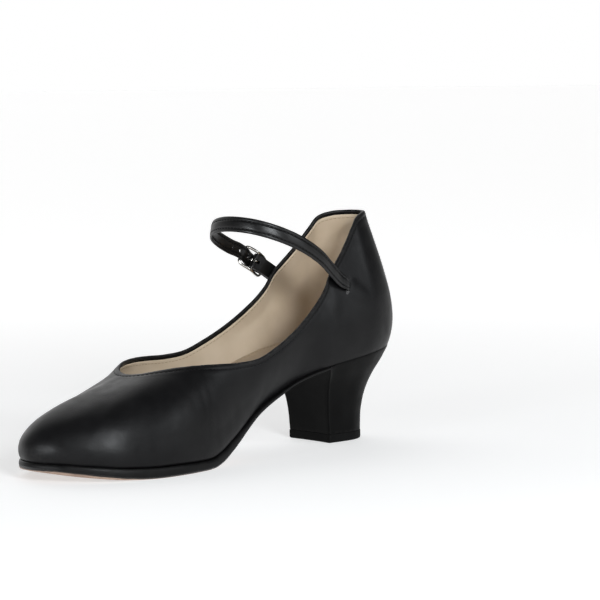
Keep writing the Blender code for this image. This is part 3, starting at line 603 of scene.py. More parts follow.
def finished(made, colour, roughness, height, depth):
    """Links a material's colour, roughness and bumps of this depth in millimetres."""
    tree = made.node_tree
    bumps = add(tree, "Bump", Height=height, Distance=depth * MM, Strength=1.0)
    shader = tree.nodes["Principled BSDF"]
    inputs = {"Base Color": colour, "Roughness": roughness, "Normal": bumps.outputs["Normal"]}
    for socket, value in inputs.items():
        tree.links.new(value, shader.inputs[socket])
    return made


def leather(name, dark, light, roughness, grain=0.75, depth=0.03, worn=None, **sockets):
    """Smooth leather: pebble grain, fine pores, uneven dye and gloss, and wear where marked."""
    made, tree = new_material(name, **sockets)
    where = place_of(tree)
    colour = blended(tree, spread(tree, cloudy(tree, where, 14, 3)), dark, light)
    gloss = spread(tree, cloudy(tree, where, 6, 4), roughness - 0.05, roughness + 0.06)
    if worn is not None:
        patches = spread(tree, cloudy(tree, where, 1.6, 4), 0, 1, 0.42, 0.62)
        scuffed = maths(tree, "MULTIPLY", mark_of(tree, "wear"), patches)
        colour = blended(tree, scuffed, colour, worn)
        gloss = sums(tree, gloss, scuffed, 0.12)
    height = sums(tree, cells(tree, where, grain), cloudy(tree, where, grain / 4, 3), 0.35)
    return finished(made, colour, gloss, height, depth)


def suede(name, dark, light):
    """Napped leather: short fibres brushed in patches."""
    made, tree = new_material(name, Sheen_Weight=0.35, Sheen_Roughness=0.5, Specular_IOR_Level=0.15)
    where = place_of(tree)
    brushed = cloudy(tree, where, 9, 4, 0.8)
    fibres = cloudy(tree, where, 0.22, 5)
    tone = sums(tree, spread(tree, brushed, 0, 0.7), spread(tree, fibres), 0.3)
    colour = blended(tree, mark_of(tree, "ink"), blended(tree, tone, dark, light), (0.012, 0.011, 0.011))
    return finished(made, colour, spread(tree, fibres, 0.82, 0.98), fibres, 0.12)


def edge_ink(name):
    """Dyed and waxed leather edge with faint lines along it."""
    made, tree = new_material(name, Specular_IOR_Level=0.12)
    lines = cloudy(tree, place_of(tree, (0.15, 0.15, 1)), 0.5, 3)
    patches = cloudy(tree, place_of(tree), 5, 3)
    colour = blended(tree, spread(tree, patches), (0.003, 0.0029, 0.003), (0.006, 0.0057, 0.0057))
    return finished(made, colour, spread(tree, patches, 0.38, 0.52), sums(tree, lines, patches, 0.5), 0.05)


def rubber(name):
    """Matt rubber with a fine moulded grain."""
    made, tree = new_material(name, Specular_IOR_Level=0.07)
    where = place_of(tree)
    dust = cloudy(tree, where, 4, 5)
    colour = blended(tree, spread(tree, dust), (0.0025, 0.0025, 0.0025), (0.005, 0.005, 0.005))
    return finished(made, colour, spread(tree, dust, 0.55, 0.75), cells(tree, where, 0.5), 0.04)


def metal(name, colour, roughness, brushed=False):
    """Plated or plain steel with faint scratches."""
    made, tree = new_material(name, Metallic=1.0)
    where = place_of(tree, (1, 1, 6) if brushed else (1, 1, 1))
    scratches = cloudy(tree, where, 0.4, 5)
    tone = blended(tree, spread(tree, scratches), tuple(0.82 * k for k in colour), colour)
    gloss = spread(tree, cloudy(tree, where, 1.5, 4), roughness - 0.05, roughness + 0.09)
    return finished(made, tone, gloss, scratches, 0.008)


def thread(name, colour, gloss):
    """Waxed thread with a twist."""
    made, tree = new_material(name, Specular_IOR_Level=gloss)
    twist = add(tree, "TexWave", {"bands_direction": "DIAGONAL"}, Vector=place_of(tree), Scale=1.4,
                Distortion=1.0).outputs["Fac"]
    tone = blended(tree, twist, tuple(0.5 * k for k in colour), colour)
    return finished(made, tone, spread(tree, twist, 0.38, 0.55, 0, 1), twist, 0.04)


def board(name, dark, light, lump, depth, roughness=0.9):
    """Pressed, felted or foamed sheet, with lumps of this size."""
    made, tree = new_material(name, Specular_IOR_Level=0.25)
    where = place_of(tree)
    fibres = cloudy(tree, where, lump / 2, 5, 1.5)
    mixture = sums(tree, cells(tree, where, lump), fibres, 0.6)
    colour = blended(tree, spread(tree, mixture, 0, 1, 0.2, 1.0), dark, light)
    return finished(made, colour, spread(tree, fibres, roughness - 0.08, roughness + 0.06), mixture, depth)


BLACK = leather("black_leather", (0.0032, 0.0031, 0.0034), (0.0056, 0.0055, 0.0058), 0.38,
                worn=(0.03, 0.028, 0.027), Specular_IOR_Level=0.148)
BLACK_STRAP = leather("black_strap_leather", (0.003, 0.0029, 0.003), (0.005, 0.0049, 0.005), 0.34, grain=0.6,
                      worn=(0.03, 0.028, 0.027), Specular_IOR_Level=0.26)
# Darker copy of the black leather: its lower base and worn colours are painted shade, so that the heel's
# breast looks shaded.
COVER_LEATHER_PAINTED_SHADE = leather("cover_leather_with_painted_shade", (0.0021, 0.0021, 0.0021), (0.0036, 0.0036, 0.0036), 0.42,
                      grain=0.8, depth=0.02, worn=(0.014, 0.013, 0.013), Specular_IOR_Level=0.05)
LINING = leather("lining_leather", (0.46, 0.365, 0.26), (0.52, 0.42, 0.31), 0.62, grain=0.55, depth=0.035)
SOCK = leather("sock_leather", (0.4, 0.305, 0.21), (0.45, 0.35, 0.25), 0.58, grain=0.7, depth=0.04)
FACING = suede("suede", (0.17, 0.115, 0.088), (0.36, 0.26, 0.2))
EDGE = edge_ink("sole_edge")
RUBBER = rubber("heel_rubber")
NICKEL = metal("nickel", (0.72, 0.7, 0.66), 0.16)
STEEL = metal("steel", (0.5, 0.5, 0.5), 0.34, brushed=True)
THREAD = thread("black_thread", (0.0035, 0.0034, 0.0034), 0.15)
# Bar-tack thread: its grey base colour is a painted highlight, and its higher gloss than the black thread is
# real.
SHEEN_PAINTED_THREAD = thread("thread_with_painted_sheen", (0.06, 0.058, 0.058), 0.5)
TAN_THREAD = thread("tan_thread", (0.42, 0.33, 0.22), 0.35)
FOAM = board("foam", (0.62, 0.58, 0.45), (0.8, 0.76, 0.64), 0.8, 0.1)
CUTTER = bpy.data.materials.new("cutter")


# Upper

def strap_bulge(points, local, reach):
    """Bulge over a strap end that runs on under the leather behind its slit."""
    away = (points - local[0]) @ local[1].T
    near = np.abs(away[..., 2]) < 8
    length = ease(away[..., 0], 0.4, 2.5) * (1 - ease(away[..., 0], 0.45 * reach, reach))
    return near * length * np.exp(-(away[..., 1] / 4.4)**4)


def upper_relief(turns, rises, down):
    """How far the leather stands proud of its plain form."""
    points = wall(turns, rises)
    share = half_turn(turns)
    fold = 0.14 * bump(down, 0.9, 0.9) - 0.12 * bump(down, STITCH_DOWN, 0.42) - 0.06 * ease(down, 4.2, 6.2)
    settle = 0.13 * unevenness(points, 17, 3.1) + 0.05 * unevenness(points, 6, 8.4)
    settle = settle * ease(rises, 0, 0.15) * ease(down, 2, 9)
    stiffeners = 0.14 * ease(share, 0.79, 0.83) + 0.16 * (1 - ease(share, 0.31, 0.35))
    stiffeners = stiffeners * (1 - ease(rises, 0.42, 0.56))
    behind = frame_at(INNER_SLIT[0], (-0.82, 0, -0.57), (0, 1, 0))
    bulges = 0.6 * strap_bulge(points, behind, 20) + 0.6 * strap_bulge(points, OUTER_SLIT, 20)
    bent = points[..., 0] + 0.35 * np.abs(points[..., 1]) + 2.2 * unevenness(points, 22, 1.7)
    creases = sum(depth * bump(bent, x, 1.7) for x, depth in CREASES) * ease(points[..., 2], 12, 24)
    above = points[..., 2] - wall(turns, np.zeros_like(rises))[..., 2]
    tuck = 1 - (1 - np.clip(above / 2.7, 0, 1))**2
    roll = 1.05 * tuck**0.5 * (1 - ease(above, 2.7, 15)) * ease(share, 0.4, 0.55)
    return fold + settle + stiffeners + bulges + roll - creases


def wear_of(turns, rises, down):
    """Share of rubbed dye: along the fold of the top edge and low on the toe."""
    toe = ease(half_turn(turns), 0.9, 1) * (1 - ease(rises, 0.05, 0.25))
    return 0.5 * (1 - ease(down, 0, 1.1)) + 0.18 * toe


def make_upper():
    """Folded top edge, outer face, the margin turned under the foot, and the inside."""
    turns = np.arange(TURNS) / TURNS
    rises, down = rises_from_top(turns, EDGE_ROWS, WALL_ROWS)
    column = turns[:, None]
    outside = wall(column, rises) - wall_axes(column, rises)[0] * upper_relief(column, rises, down)[..., None]
    inward, upward = wall_axes(turns, np.full(TURNS, 0.999))
    rim = [outside[:, 0] + RIM_RADIUS * (inward * (1 - math.cos(angle)) + upward * math.sin(angle))
           for angle in np.radians(np.linspace(180, 0, 11))[1:-1]]
    rim = np.stack(rim, 1)
    inner_rises, inner_down = rises_from_top(turns, np.array([0.05, 0.6, 1.1, 1.7]), 22,
                                             foot=rise_at_height(turns, 2.2).mean())
    depth = UPPER_THICK + 0.5 * (1 - ease(inner_down, 0.6, 1.6))
    inside = under_wall(column, inner_rises, depth)[:, ::-1]
    flange = []
    for inset, lift, height in ((0.35, -0.03, edge_height), (3, -0.03, seat_height), (9, 0, seat_height),
                                (9, 1.1, seat_height), (2.6, 1.2, seat_height)):
        plan, _ = feather_edge(turns, inset)
        flange.append(np.column_stack([plan, height(plan[:, 0]) + lift]))
    flange = np.stack(flange, 1)
    sections = np.concatenate([outside, flange, inside, rim], axis=1)
    wear = np.zeros(sections.shape[:2])
    wear[:, :outside.shape[1]] = wear_of(column, rises, down)
    wear[:, -rim.shape[1]:] = 0.55
    upper = lofted("upper_leather", sections, BLACK, ring=True, sharp=50, marks={"wear": wear})
    carve(upper, [slot_cutter("slit_1", INNER_SLIT, *INNER_SLIT_SIZE),
                  slot_cutter("slit_2", OUTER_SLIT, *OUTER_SLIT_SIZE)], sharp=50)
    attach(upper, "shoe")
    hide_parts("upper")
    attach(stitched_round("topline_stitching", STITCH_DOWN, 0.12, -1, 0.17, THREAD), "shoe")


def stitched_round(name, down, depth, side, radius, finish):
    """Stitches all round, this far under the top edge and into the upper. side -1 shows them outside."""
    turns = np.arange(SEWN_TURNS) / SEWN_TURNS
    rises = rises_from_top(turns, np.array([down]), 1)[0][:, 0]
    row = stitch_row(under_wall(turns, rises, depth), side * wall_axes(turns, rises)[0], closed=True,
                     radius=radius)
    return sewn(name, row, finish)


def make_lining():
    """Lining from the folded edge to the sock, standing off over the stiffeners."""
    turns = np.arange(TURNS) / TURNS
    column = turns[:, None]
    rises, down = rises_from_top(turns, np.array([1.5, 1.7, 2.0, 2.6, 3.4]), 34, foot=0.03)
    depth = lining_depth(column, rises)
    edge = 0.32 * (1 - ease(down, 1.5, 2.0))
    settle = 0.1 * unevenness(wall(column, rises), 13, 5.2) * ease(down, 3, 9)
    outside = under_wall(column, rises, depth + edge)
    inside = under_wall(column, rises, depth + LINING_THICK - edge + settle)
    sections = np.concatenate([outside[:, ::-1], inside], axis=1)
    lining = lofted("lining", sections, LINING, ring=True, sharp=60)
    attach(lining, "shoe")
    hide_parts("upper_lining")
    surface = UPPER_THICK + GAP + LINING_THICK - 0.02
    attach(stitched_round("lining_stitching", 3.3, surface, 1, 0.16, TAN_THREAD), "shoe")


def make_bar_tack():
    """Short stitches across the lower end of each slit."""
    tacks = []
    for local, first, surface in ((INNER_SLIT, 3.35, 0.5), (OUTER_SLIT, 4.5, 0.9)):
        for low in first + 0.38 * np.arange(5):
            ends = placed(local, [(-1.5, low, surface), (1.3, low - 0.15, surface)])
            tacks.append(stitch(*ends, local[1][2], radius=0.2, sink=0.5))
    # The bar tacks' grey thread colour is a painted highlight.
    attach(sewn("slit_bar_tacks", tacks, SHEEN_PAINTED_THREAD), "shoe")


# Inside of the shoe

def footbed_edge(turns, clearance, height):
    """Plan points where the footbed meets the lining."""
    rises = rise_at_height(turns, height)
    return under_wall(turns, rises, lining_depth(turns, rises) + LINING_THICK + clearance)[:, :2]


def footbed_layer(name, clearance, top, thick, crown, finish):
    """Soft layer under the foot with rounded edges, crowned and dented."""
    turns = np.linspace(0, 0.5, 150)
    inner, outer = (footbed_edge(side_turns % 1, clearance, top) for side_turns in (turns, 1 - turns))
    middle = (inner + outer) / 2
    half = np.linalg.norm(inner - outer, axis=1)[:, None] / 2 + 1e-6
    angles = np.radians(np.linspace(0, 180, 9))
    inset = np.minimum(0.5 * (1 - np.abs(np.sin(angles))**0.7), half)[..., None]

    def column(edge):
        spots = edge[:, None] - ((edge - middle) / half)[:, None] * inset
        levels = seat_height(spots[..., 0]) + top - thick / 2 + thick / 2 * np.cos(angles)
        return np.concatenate([spots, levels[..., None]], -1)

    sections = np.array([across_loop(*pair, 26) for pair in zip(column(inner), column(outer))])
    rides_high = sections[..., 2] > seat_height(sections[..., 0]) + top - thick * 0.6
    spread_out = np.linalg.norm(sections[..., :2] - middle[:, None], axis=-1) / half
    pad = crown * (1 - spread_out**2) + 0.7 * spread_out**6
    heel = 0.9 * np.exp(-((sections[..., 0] - 36) / 24)**4 - (sections[..., 1] / 16)**4)
    sections[..., 2] += rides_high * (pad + crown * (heel + 0.12 * unevenness(sections, 9, 2.2)))
    made = lofted(name, sections, finish, sharp=60)
    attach(made, "shoe")
    return made


def make_footbed():
    sock = footbed_layer("sock_liner_pad", 0.25, SOCK_TOP, 1.1, 0.8, SOCK)
    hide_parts("sock_liner")
    foam = footbed_layer("insole_foam_pad", 1.2, SOCK_TOP - 1.5, 1.4, 0.1, FOAM)
    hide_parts("insole_foam")
    plan = footbed_edge(np.arange(900) / 900, 2.6, SOCK_TOP)
    line = np.column_stack([plan, seat_height(plan[:, 0]) + SOCK_TOP + 0.42])
    row = stitch_row(line, np.tile([0, 0, 1.0], (len(line), 1)), closed=True, radius=0.17, pitch=2.8)
    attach(sewn("sock_stitching", row, TAN_THREAD), "shoe")


# Sole

def turn_at(x):
    """Turn at which the sole's inner edge passes this x."""
    turns = np.linspace(0, 0.5, 2001)
    return float(np.interp(x, sole_edge(turns)[0][:, 0], turns))


def rounded_edge(turn, high, low, inset=0.0, rows=13):
    """The sole's rounded edge between two levels."""
    x = sole_edge(turn)[0][0]
    top, bottom = edge_height(x) - 0.12, walking_height(x)
    levels = np.clip((2 * np.array([high, low]) - top - bottom) / (top - bottom), -1, 1)
    angles = np.linspace(*np.arccos(squarer(levels, 1 / 0.85)), rows)
    rounding = np.where(angles < math.pi / 2, 1.3, 1.0) * (1 - np.abs(np.sin(angles))**0.75)
    plan, _ = sole_edge(np.full(rows, turn), inset + rounding)
    return np.column_stack([plan, (top + bottom + (top - bottom) * squarer(np.cos(angles), 0.85)) / 2])


def facing_thickness(x):
    """The suede is skived thin where it starts, and thickest at the toe."""
    return (0.12 + (FACING_THICK - 0.12) * ease(x, FACING_START - 1, FACING_START + 16)
            + 1.1 * ease(x, 192, 220))


def make_outsole():
    """Black sole that thins out under the arch."""
    def column(turn):
        x = sole_edge(turn)[0][0]
        lift = 0.1 + (facing_thickness(x) - 0.07) * ease(x, FACING_START - 2, FACING_START - 0.5)
        ledge, _ = sole_edge(turn, 4.0)
        inset = 0.8 * (1 - ease(x, BREAST_X - 0.4, BREAST_X + 4))
        edge = rounded_edge(turn, edge_height(x) - 0.12, walking_height(x) + lift, inset)
        return np.vstack([[(*ledge, seat_height(ledge[0]) - 0.12)], edge])

    turns = np.linspace(turn_at(BREAST_X - 0.8), 0.5, 240)
    sole = layer("sole_edge_and_waist", turns, column, EDGE, 14)
    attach(sole, "shoe")
    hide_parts("outsole")


def ink_of(points):
    """1 where the suede's edge is dyed black, 0 on the bare nap below."""
    low = points[..., 2] - walking_height(points[..., 0])
    bare = 0.2 + 1.15 * ease(points[..., 0], 190, 224) * (1 - 0.6 * ease(points[..., 0], 232, 238))
    return ease(low, bare, bare + 0.12)


def make_facing():
    """Suede walking face under the forefoot."""
    def column(turn):
        x = sole_edge(turn)[0][0]
        return rounded_edge(turn, walking_height(x) + facing_thickness(x), walking_height(x), 0.1, rows=11)

    turns = np.linspace(turn_at(FACING_START), 0.5, 200)
    facing = layer("suede_walking_face", turns, column, FACING, 20, marks={"ink": ink_of})
    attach(facing, "shoe")
    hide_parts("sole_facing")


# Heel

def heel_loop(share, inset, low, lip=0.0):
    """Outline of the heel at a share of the way from the low level to the seat. A lip stands up round it, but
    not at the breast."""
    start = turn_at(BREAST_X)
    turns = np.linspace(start, -start, 121)
    seat, _ = sole_edge(turns % 1, 0.5)
    back, breast = graph(HEEL_BACK, share) + inset, graph(HEEL_BREAST, share) - inset
    half = graph(HEEL_HALF_WIDTH, share) - inset
    turned = 0.9 - 0.75 * ease(share, 0.8, 1)
    x = back + (seat[:, 0] - seat[:, 0].min()) / np.ptp(seat[:, 0]) * (breast - turned - back)
    y = seat[:, 1] / np.abs(seat[:, 1]).max() * half
    side = np.abs(y[-1])
    corner = np.linspace(0, 1, 6)[1:, None]
    bend = np.array([(breast - turned, side), (breast, side), (breast, side - turned)])
    arc = bend[0] * (1 - corner)**2 + 2 * bend[1] * corner * (1 - corner) + bend[2] * corner**2
    across = np.linspace(1, -1, 15)[1:-1] * (side - turned)
    hollow = 0.7 * (1 - (across / side)**2) * (1 - 0.5 * share)
    front = np.column_stack([breast - hollow, across])[::-1]
    plan = np.vstack([np.column_stack([x, y]), arc * (1, -1), front, arc[::-1]])
    raised = 0.14 - lip * (1 - ease(plan[:, 0], BREAST_X - 5, BREAST_X - 1.5))
    z = low + share * (seat_height(plan[:, 0]) - raised - low)
    return np.column_stack([plan, z])


def make_heel():
    """Leather cover of the heel, rubbed at its lower edge."""
    bottom = TOP_PIECE_THICK + 0.08
    shares = np.concatenate([[0, 0.004, 0.012], np.linspace(0.03, 0.97, 42), [0.988, 1]])
    rolls = 0.08 * (1 - ease(shares, 0, 0.012)) + 0.2 * ease(shares, 0.98, 1)
    outside = np.array([heel_loop(share, roll, bottom, 0.5) for share, roll in zip(shares, rolls)])
    inside = np.array([heel_loop(share, COVER_THICK, bottom) for share in shares])
    outside[..., :2] += 0.05 * unevenness(outside, 8, 6.6)[..., None]
    sections = np.concatenate([outside, inside[::-1]], axis=0).transpose(1, 0, 2)
    rubbed = 0.5 * (1 - ease(shares, 0, 0.05))
    wear = np.broadcast_to(np.concatenate([rubbed, 0 * shares]), sections.shape[:2])
    # The heel cover's darker leather is painted shade.
    cover = lofted("heel_cover_leather", sections, COVER_LEATHER_PAINTED_SHADE, ring=True, sharp=35, marks={"wear": wear})
    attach(cover, "shoe")
    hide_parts("heel_cover")


def make_top_piece():
    """Rubber wearing piece with a bevelled edge and recesses for its pins."""
    sections = [heel_loop(0, inset - 0.2, 0) + (0, 0, z) for inset, z in TOP_PIECE_PROFILE]
    piece = lofted("top_piece_rubber", sections, RUBBER, sharp=35)
    spots = [frame_at((*pin, 0), (1, 0, 0), (0, 0, 1)) for pin in TOP_PIECE_PINS]
    carve(piece, [prism(f"pin_recess_{number}", spot, circle(2.0, 24), -1, 2.2)
                  for number, spot in enumerate(spots)], sharp=35)
    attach(piece, "shoe")
    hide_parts("top_piece")


# Strap

def strap_axes(step):
    """Distance, point, and directions along, across and outward on the strap's centre line."""
    buckled = [placed(BUCKLE_FRAME, (along, 0, out)) for along, out in STRAP_TAIL]
    path, knots = path_through(np.vstack([STRAP_ROUTE, buckled]))
    at = np.linspace(0, knots[-1], int(knots[-1] / step) + 1)
    points = path(at)
    share = ease(at, knots[len(STRAP_ROUTE) - 2], knots[len(STRAP_ROUTE)])[:, None]
    away = np.stack([points[:, 0] - ANKLE_AXIS[0], points[:, 1] - ANKLE_AXIS[1], 0 * points[:, 0]], -1)
    upright = (np.array([0, 0, 1]) - STRAP_LEAN * unit(away)) * (1 - share) - BUCKLE_FRAME[1][1] * share
    ahead = unit(np.gradient(points, axis=0))
    across = unit(upright - (upright * ahead).sum(1, keepdims=True) * ahead)
    return at, points, ahead, across, np.cross(across, ahead)


def strap_outline():
    """Section of the strap: crowned middle, sunk seams and rolled edges."""
    half = STRAP_WIDTH / 2
    across = half * np.sin(np.linspace(-math.pi / 2, math.pi / 2, 41))
    away = np.abs(across)
    thick = STRAP_THICK / 2 * (1 - (away / half)**7)**0.5
    thick += 0.1 * (1 - (away / STRAP_SEAM)**2) * (away < STRAP_SEAM) - 0.32 * bump(away, STRAP_SEAM, 0.34)
    over = np.column_stack([across, thick])
    under = np.column_stack([across[::-1], -0.92 * np.maximum(thick[::-1], 0)])
    return np.vstack([over, under[1:-1]])


def bend_strap(made):
    """Bakes the piece's placing into its mesh; it is attached to no body."""
    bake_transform(made)


def make_strap():
    at, points, ahead, across, outward = strap_axes(0.5)
    outline = strap_outline()
    left = at[-1] - at
    narrow = (0.82 + 0.18 * ease(at, 1, 13))[:, None]
    tip = np.sqrt(np.clip(1 - ((4.5 - np.minimum(left, 4.5)) / 4.55)**2, 0.02, 1))[:, None]
    thin = (1 - 0.35 * (1 - ease(left, 0, 2)))[:, None]
    wobble = 0.06 * unevenness(points, 7, 4.4)[:, None]
    sections = (points[:, None] + (outline[:, 0] * tip * narrow)[..., None] * across[:, None]
                + (outline[:, 1] * thin + wobble)[..., None] * outward[:, None])
    edge = ease(np.abs(outline[:, 0]), STRAP_WIDTH / 2 - 0.5, STRAP_WIDTH / 2)
    wear = np.broadcast_to(0.45 * edge, sections.shape[:2])
    strap = lofted("ankle_strap_leather", sections, BLACK_STRAP, sharp=60, marks={"wear": wear})
    cutters = []
    for number, (along, stretch) in enumerate(STRAP_HOLES):
        nearest = np.argmin(np.linalg.norm(points - placed(BUCKLE_FRAME, (along, 0, 1)), axis=1))
        spot = frame_at(points[nearest], ahead[nearest], outward[nearest])
        cutters.append(prism(f"strap_hole_{number}", spot, circle(1.0, 20, stretch), -3, 3))
    carve(strap, cutters, sharp=60)
    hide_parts("ankle_strap")
    bend_strap(strap)

    rows = []
    inside = (at > 5) & (left > 3.5)
    for side in (-1, 1):
        for face, height in ((1, STRAP_THICK / 2 - 0.2), (-1, STRAP_THICK / 2 - 0.26)):
            line = points + side * STRAP_SEAM * narrow * across + face * height * outward
            rows += stitch_row(line[inside], face * outward[inside], fill=0.74)
    bend_strap(sewn("strap_stitching", rows, THREAD))


def make_buckle():
    """Wire frame with its centre bar, and the prong that turns on it."""
    along, across = squarer(circle(1.0, 96), 0.34).T
    corners = np.column_stack([FRAME_HALF_LENGTH * along, FRAME_HALF_WIDTH * across,
                               FRAME_RISE * np.abs(along)**1.5])
    ring = evenly(placed(BUCKLE_FRAME, corners), 161, closed=True)[:-1]
    wire = lofted("buckle_frame_wire", tube(ring, FRAME_RADIUS, 18, closed=True), NICKEL, ring=True)
    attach(wire, "buckle")
    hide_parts("buckle_frame")
    ends = [(0, y, 0) for y in np.linspace(-FRAME_HALF_WIDTH, FRAME_HALF_WIDTH, 13)]
    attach(lofted("buckle_centre_bar", tube(placed(BUCKLE_FRAME, ends), BAR_RADIUS, 20), NICKEL), "buckle")

    reach = BAR_RADIUS + 0.12 + PRONG_RADIUS
    curl = [(reach * math.cos(a), 0, reach * math.sin(a)) for a in np.radians(np.linspace(-115, 160, 14))]
    curl += [(-2.0, 0, 1.5), (-2.7, 0, 2.5), (-3.9, 0, 3.5), (-5.8, 0, 3.9), (-8.9, 0, 3.85)]
    taper = PRONG_RADIUS * (1 - 0.45 * ease(np.linspace(0, 1, 70), 0.86, 1))
    prong = lofted("buckle_prong_wire", tube(evenly(placed(BUCKLE_FRAME, curl), 70), taper, 16), NICKEL)
    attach(prong, "prong")
    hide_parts("buckle_prong")


def make_tab():
    """Folded tab that holds the buckle, with a notch for the prong."""
    inner, outer = BAR_RADIUS + 0.15, BAR_RADIUS + 0.15 + TAB_THICK
    loop = [(outer * math.cos(a), outer * math.sin(a)) for a in np.radians(np.linspace(20, 290, 41))]
    under = [(4, -2.4), (7, -2.6), (12, -2.7), (15.6, -2.75), (17, -3.1), (17.5, -3.55)]
    over = [(19.2, -3.55), (18.9, -2.7), (18.2, -1.9), (16.5, -1.3), (12, -1.2), (7, -1.15), (4, -0.9),
            (2.6, -0.3)]
    outline = np.vstack([loop[1:-1], evenly(loop[-1:] + under, 34), evenly(over + loop[:1], 34)])
    inward = unit(outline.mean(0) - outline)
    sections = []
    for share in np.linspace(-1, 1, 25):
        x, z = (outline + 0.16 * abs(share)**8 * inward).T
        y = np.full(len(outline), TAB_HALF_WIDTH * math.sin(share * math.pi / 2))
        sections.append(placed(BUCKLE_FRAME, np.column_stack([x, y, z])))
    tab = lofted("buckle_tab_leather", sections, BLACK_STRAP, sharp=50,
                 marks={"wear": np.full((len(sections), len(outline)), 0.12)})
    along, across, outward = BUCKLE_FRAME[1]
    eye = prism("tab_eye", frame_at(BUCKLE_CENTRE, along, across), circle(inner, 32), -6, 6)
    notch = prism("tab_notch", frame_at(placed(BUCKLE_FRAME, (-0.6, 0, 0)), along, outward),
                  [(-2.8, -0.95), (2.8, -0.95), (2.8, 0.95), (-2.8, 0.95)], -3, 3)
    carve(tab, [eye, notch], sharp=50)
    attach(tab, "shoe")
    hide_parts("buckle_tab")
    rows = []
    for side in (-1, 1):
        line = placed(BUCKLE_FRAME, [(x, side * 2.9, -1.16) for x in np.linspace(5.5, 15.5, 12)])
        rows += stitch_row(line, np.tile(outward, (len(line), 1)), radius=0.18)
    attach(sewn("tab_stitching", rows, THREAD), "shoe")


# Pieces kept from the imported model

def finish_kept_nodes():
    """Materials of the inner pieces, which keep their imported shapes."""
    stiff = board("stiffener_sheet", (0.5, 0.45, 0.36), (0.72, 0.68, 0.58), 0.7, 0.05)
    kept = {"toe_puff": stiff, "heel_counter": stiff,
            "insole_board": board("fibreboard", (0.28, 0.19, 0.11), (0.45, 0.33, 0.21), 0.5, 0.04),
            "forepart_filler": board("cork", (0.16, 0.09, 0.05), (0.45, 0.28, 0.15), 1.4, 0.1),
            "heel_block": board("heel_plastic", (0.5, 0.47, 0.41), (0.6, 0.57, 0.5), 1.8, 0.01, 0.5)}
    for node, obj in frame["nodes"].items():
        if not obj.hide_render:
            obj.data.materials.clear()
            obj.data.materials.append(kept.get(node, STEEL))


# Studio

CAMERA_BEARING = 43.08
CAMERA_DISTANCE = 1282.8
CAMERA_HEIGHT = 190.8
CAMERA_AIM_X = 62.0
CAMERA_YAW = -0.17
CAMERA_PITCH = -5.09
CAMERA_ROLL = -0.65
CAMERA_LENS = 145.5

# Light: bearings from +X towards +Y, in degrees
SKY_DIRECTION = (-0.25, -0.76, 0.6)
SKY_BRIGHT = 1.45
SKY_CEILING = 0.06
SKY_HORIZON = 0.72
BACKDROP_DIRECTION = (-0.68, -0.73, 0)
BACKDROP = 1.0
BOX_DISTANCE = 1.5
BOX_TARGET = (0.05, 0, 0.03)
SOFT_BOXES = [("front_box", 8, 4, (0.2, 0.3), 11.0), ("side_box", 71, 20, (0.45, 0.35), 18.0),
              ("heel_box", 122, 19, (0.4, 0.5), 4.0)]


def make_camera():
    """Camera in front on the inner side, a little above the floor."""
    bearing = math.radians(CAMERA_BEARING)
    away = np.array([math.sin(bearing), math.cos(bearing), 0]) * CAMERA_DISTANCE
    placing = Matrix.Translation(metres(away + (CAMERA_AIM_X, 0, CAMERA_HEIGHT)))
    for degrees, axis in ((180 - CAMERA_BEARING + CAMERA_YAW, "Z"), (90 + CAMERA_PITCH, "X"),
                          (CAMERA_ROLL, "Z")):
        placing = placing @ Matrix.Rotation(math.radians(degrees), 4, axis)
    camera = put("camera", bpy.data.cameras.new("camera"))
    camera.data.lens = CAMERA_LENS
    camera.matrix_world = placing
    bpy.context.scene.camera = camera


def make_soft_box(name, bearing, height, size, power):
    """Area light on this bearing, this many degrees up."""
    bearing, height = math.radians(bearing), math.radians(height)
    level = math.cos(height)
    away = Vector((math.cos(bearing) * level, math.sin(bearing) * level, math.sin(height)))
    light = put(name, bpy.data.lights.new(name, "AREA"))
    light.data.shape = "RECTANGLE"
    light.data.size, light.data.size_y = size
    light.data.energy = power
    light.data.color = (0.93, 0.97, 1.0)
    light.location = away * BOX_DISTANCE + Vector(BOX_TARGET)
    light.rotation_euler = (-away).to_track_quat("-Z", "Y").to_euler()


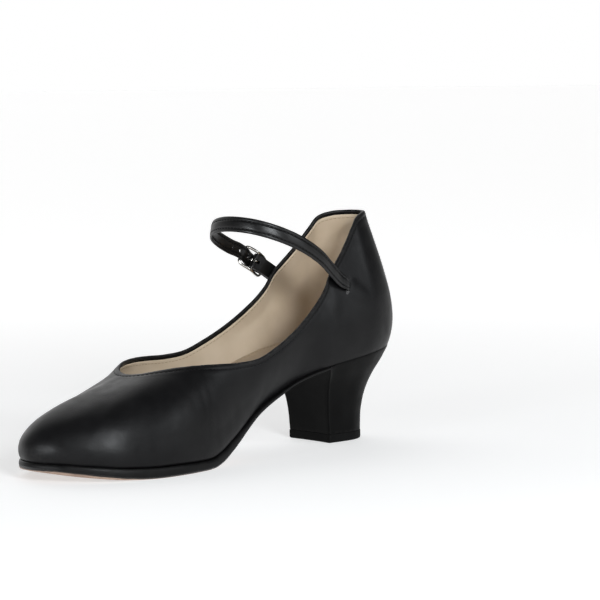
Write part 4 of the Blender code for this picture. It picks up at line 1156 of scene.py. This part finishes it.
def make_sky():
    """Soft light from behind and above, a pale horizon and a dim ceiling."""
    world = bpy.data.worlds.new("studio")
    bpy.context.scene.world = world
    world.use_nodes = True
    tree = world.node_tree
    sky = tree.nodes["Background"]
    where = add(tree, "TexCoord").outputs["Generated"]

    def along(direction, start, end, low, high):
        """Smooth change of value with the lean towards this direction."""
        lean = add(tree, "VectorMath", {"operation": "DOT_PRODUCT"}, where, direction).outputs["Value"]
        faded = add(tree, "MapRange", {"interpolation_type": "SMOOTHSTEP"}, lean, start, end, low, high)
        return faded.outputs["Result"]

    soft = along(SKY_DIRECTION, 0.68, 0.97, SKY_CEILING, SKY_BRIGHT)
    round_about = along(BACKDROP_DIRECTION, 0.8, 0.97, SKY_HORIZON, BACKDROP)
    band = maths(tree, "MULTIPLY", round_about, along((0, 0, 1), 0.04, 0.2, 1.0, 0.0))
    feed(tree, sky.inputs["Strength"], maths(tree, "MAXIMUM", soft, band))
    feed(tree, sky.inputs["Color"], (1, 1, 1, 1))


def make_studio():
    """Wide pale floor that glows more away from the shoe, the sky and the soft boxes."""
    mesh = bpy.data.meshes.new("floor")
    reach = 80.0
    mesh.from_pydata([(-reach, -reach, 0), (reach, -reach, 0), (reach, reach, 0), (-reach, reach, 0)], [],
                     [(0, 1, 2, 3)])
    floor = put("floor", mesh)
    made, tree = new_material("floor", Roughness=0.8, Specular_IOR_Level=0.1, Base_Color=(0.6, 0.6, 0.6, 1),
                              Emission_Color=(1, 1, 1, 1))
    where = add(tree, "TexCoord").outputs["Object"]
    away = add(tree, "VectorMath", {"operation": "LENGTH"}, where).outputs["Value"]
    feed(tree, tree.nodes["Principled BSDF"].inputs["Emission Strength"],
         spread(tree, away, 0.52, 0.75, 0.2, 0.9))
    mesh.materials.append(made)
    make_sky()
    for box in SOFT_BOXES:
        make_soft_box(*box)
    bpy.context.scene.view_settings.view_transform = "Standard"


make_upper()
make_lining()
make_bar_tack()
make_footbed()
make_outsole()
make_facing()
make_heel()
make_top_piece()
make_strap()
make_buckle()
make_tab()
finish_kept_nodes()
make_camera()
make_studio()
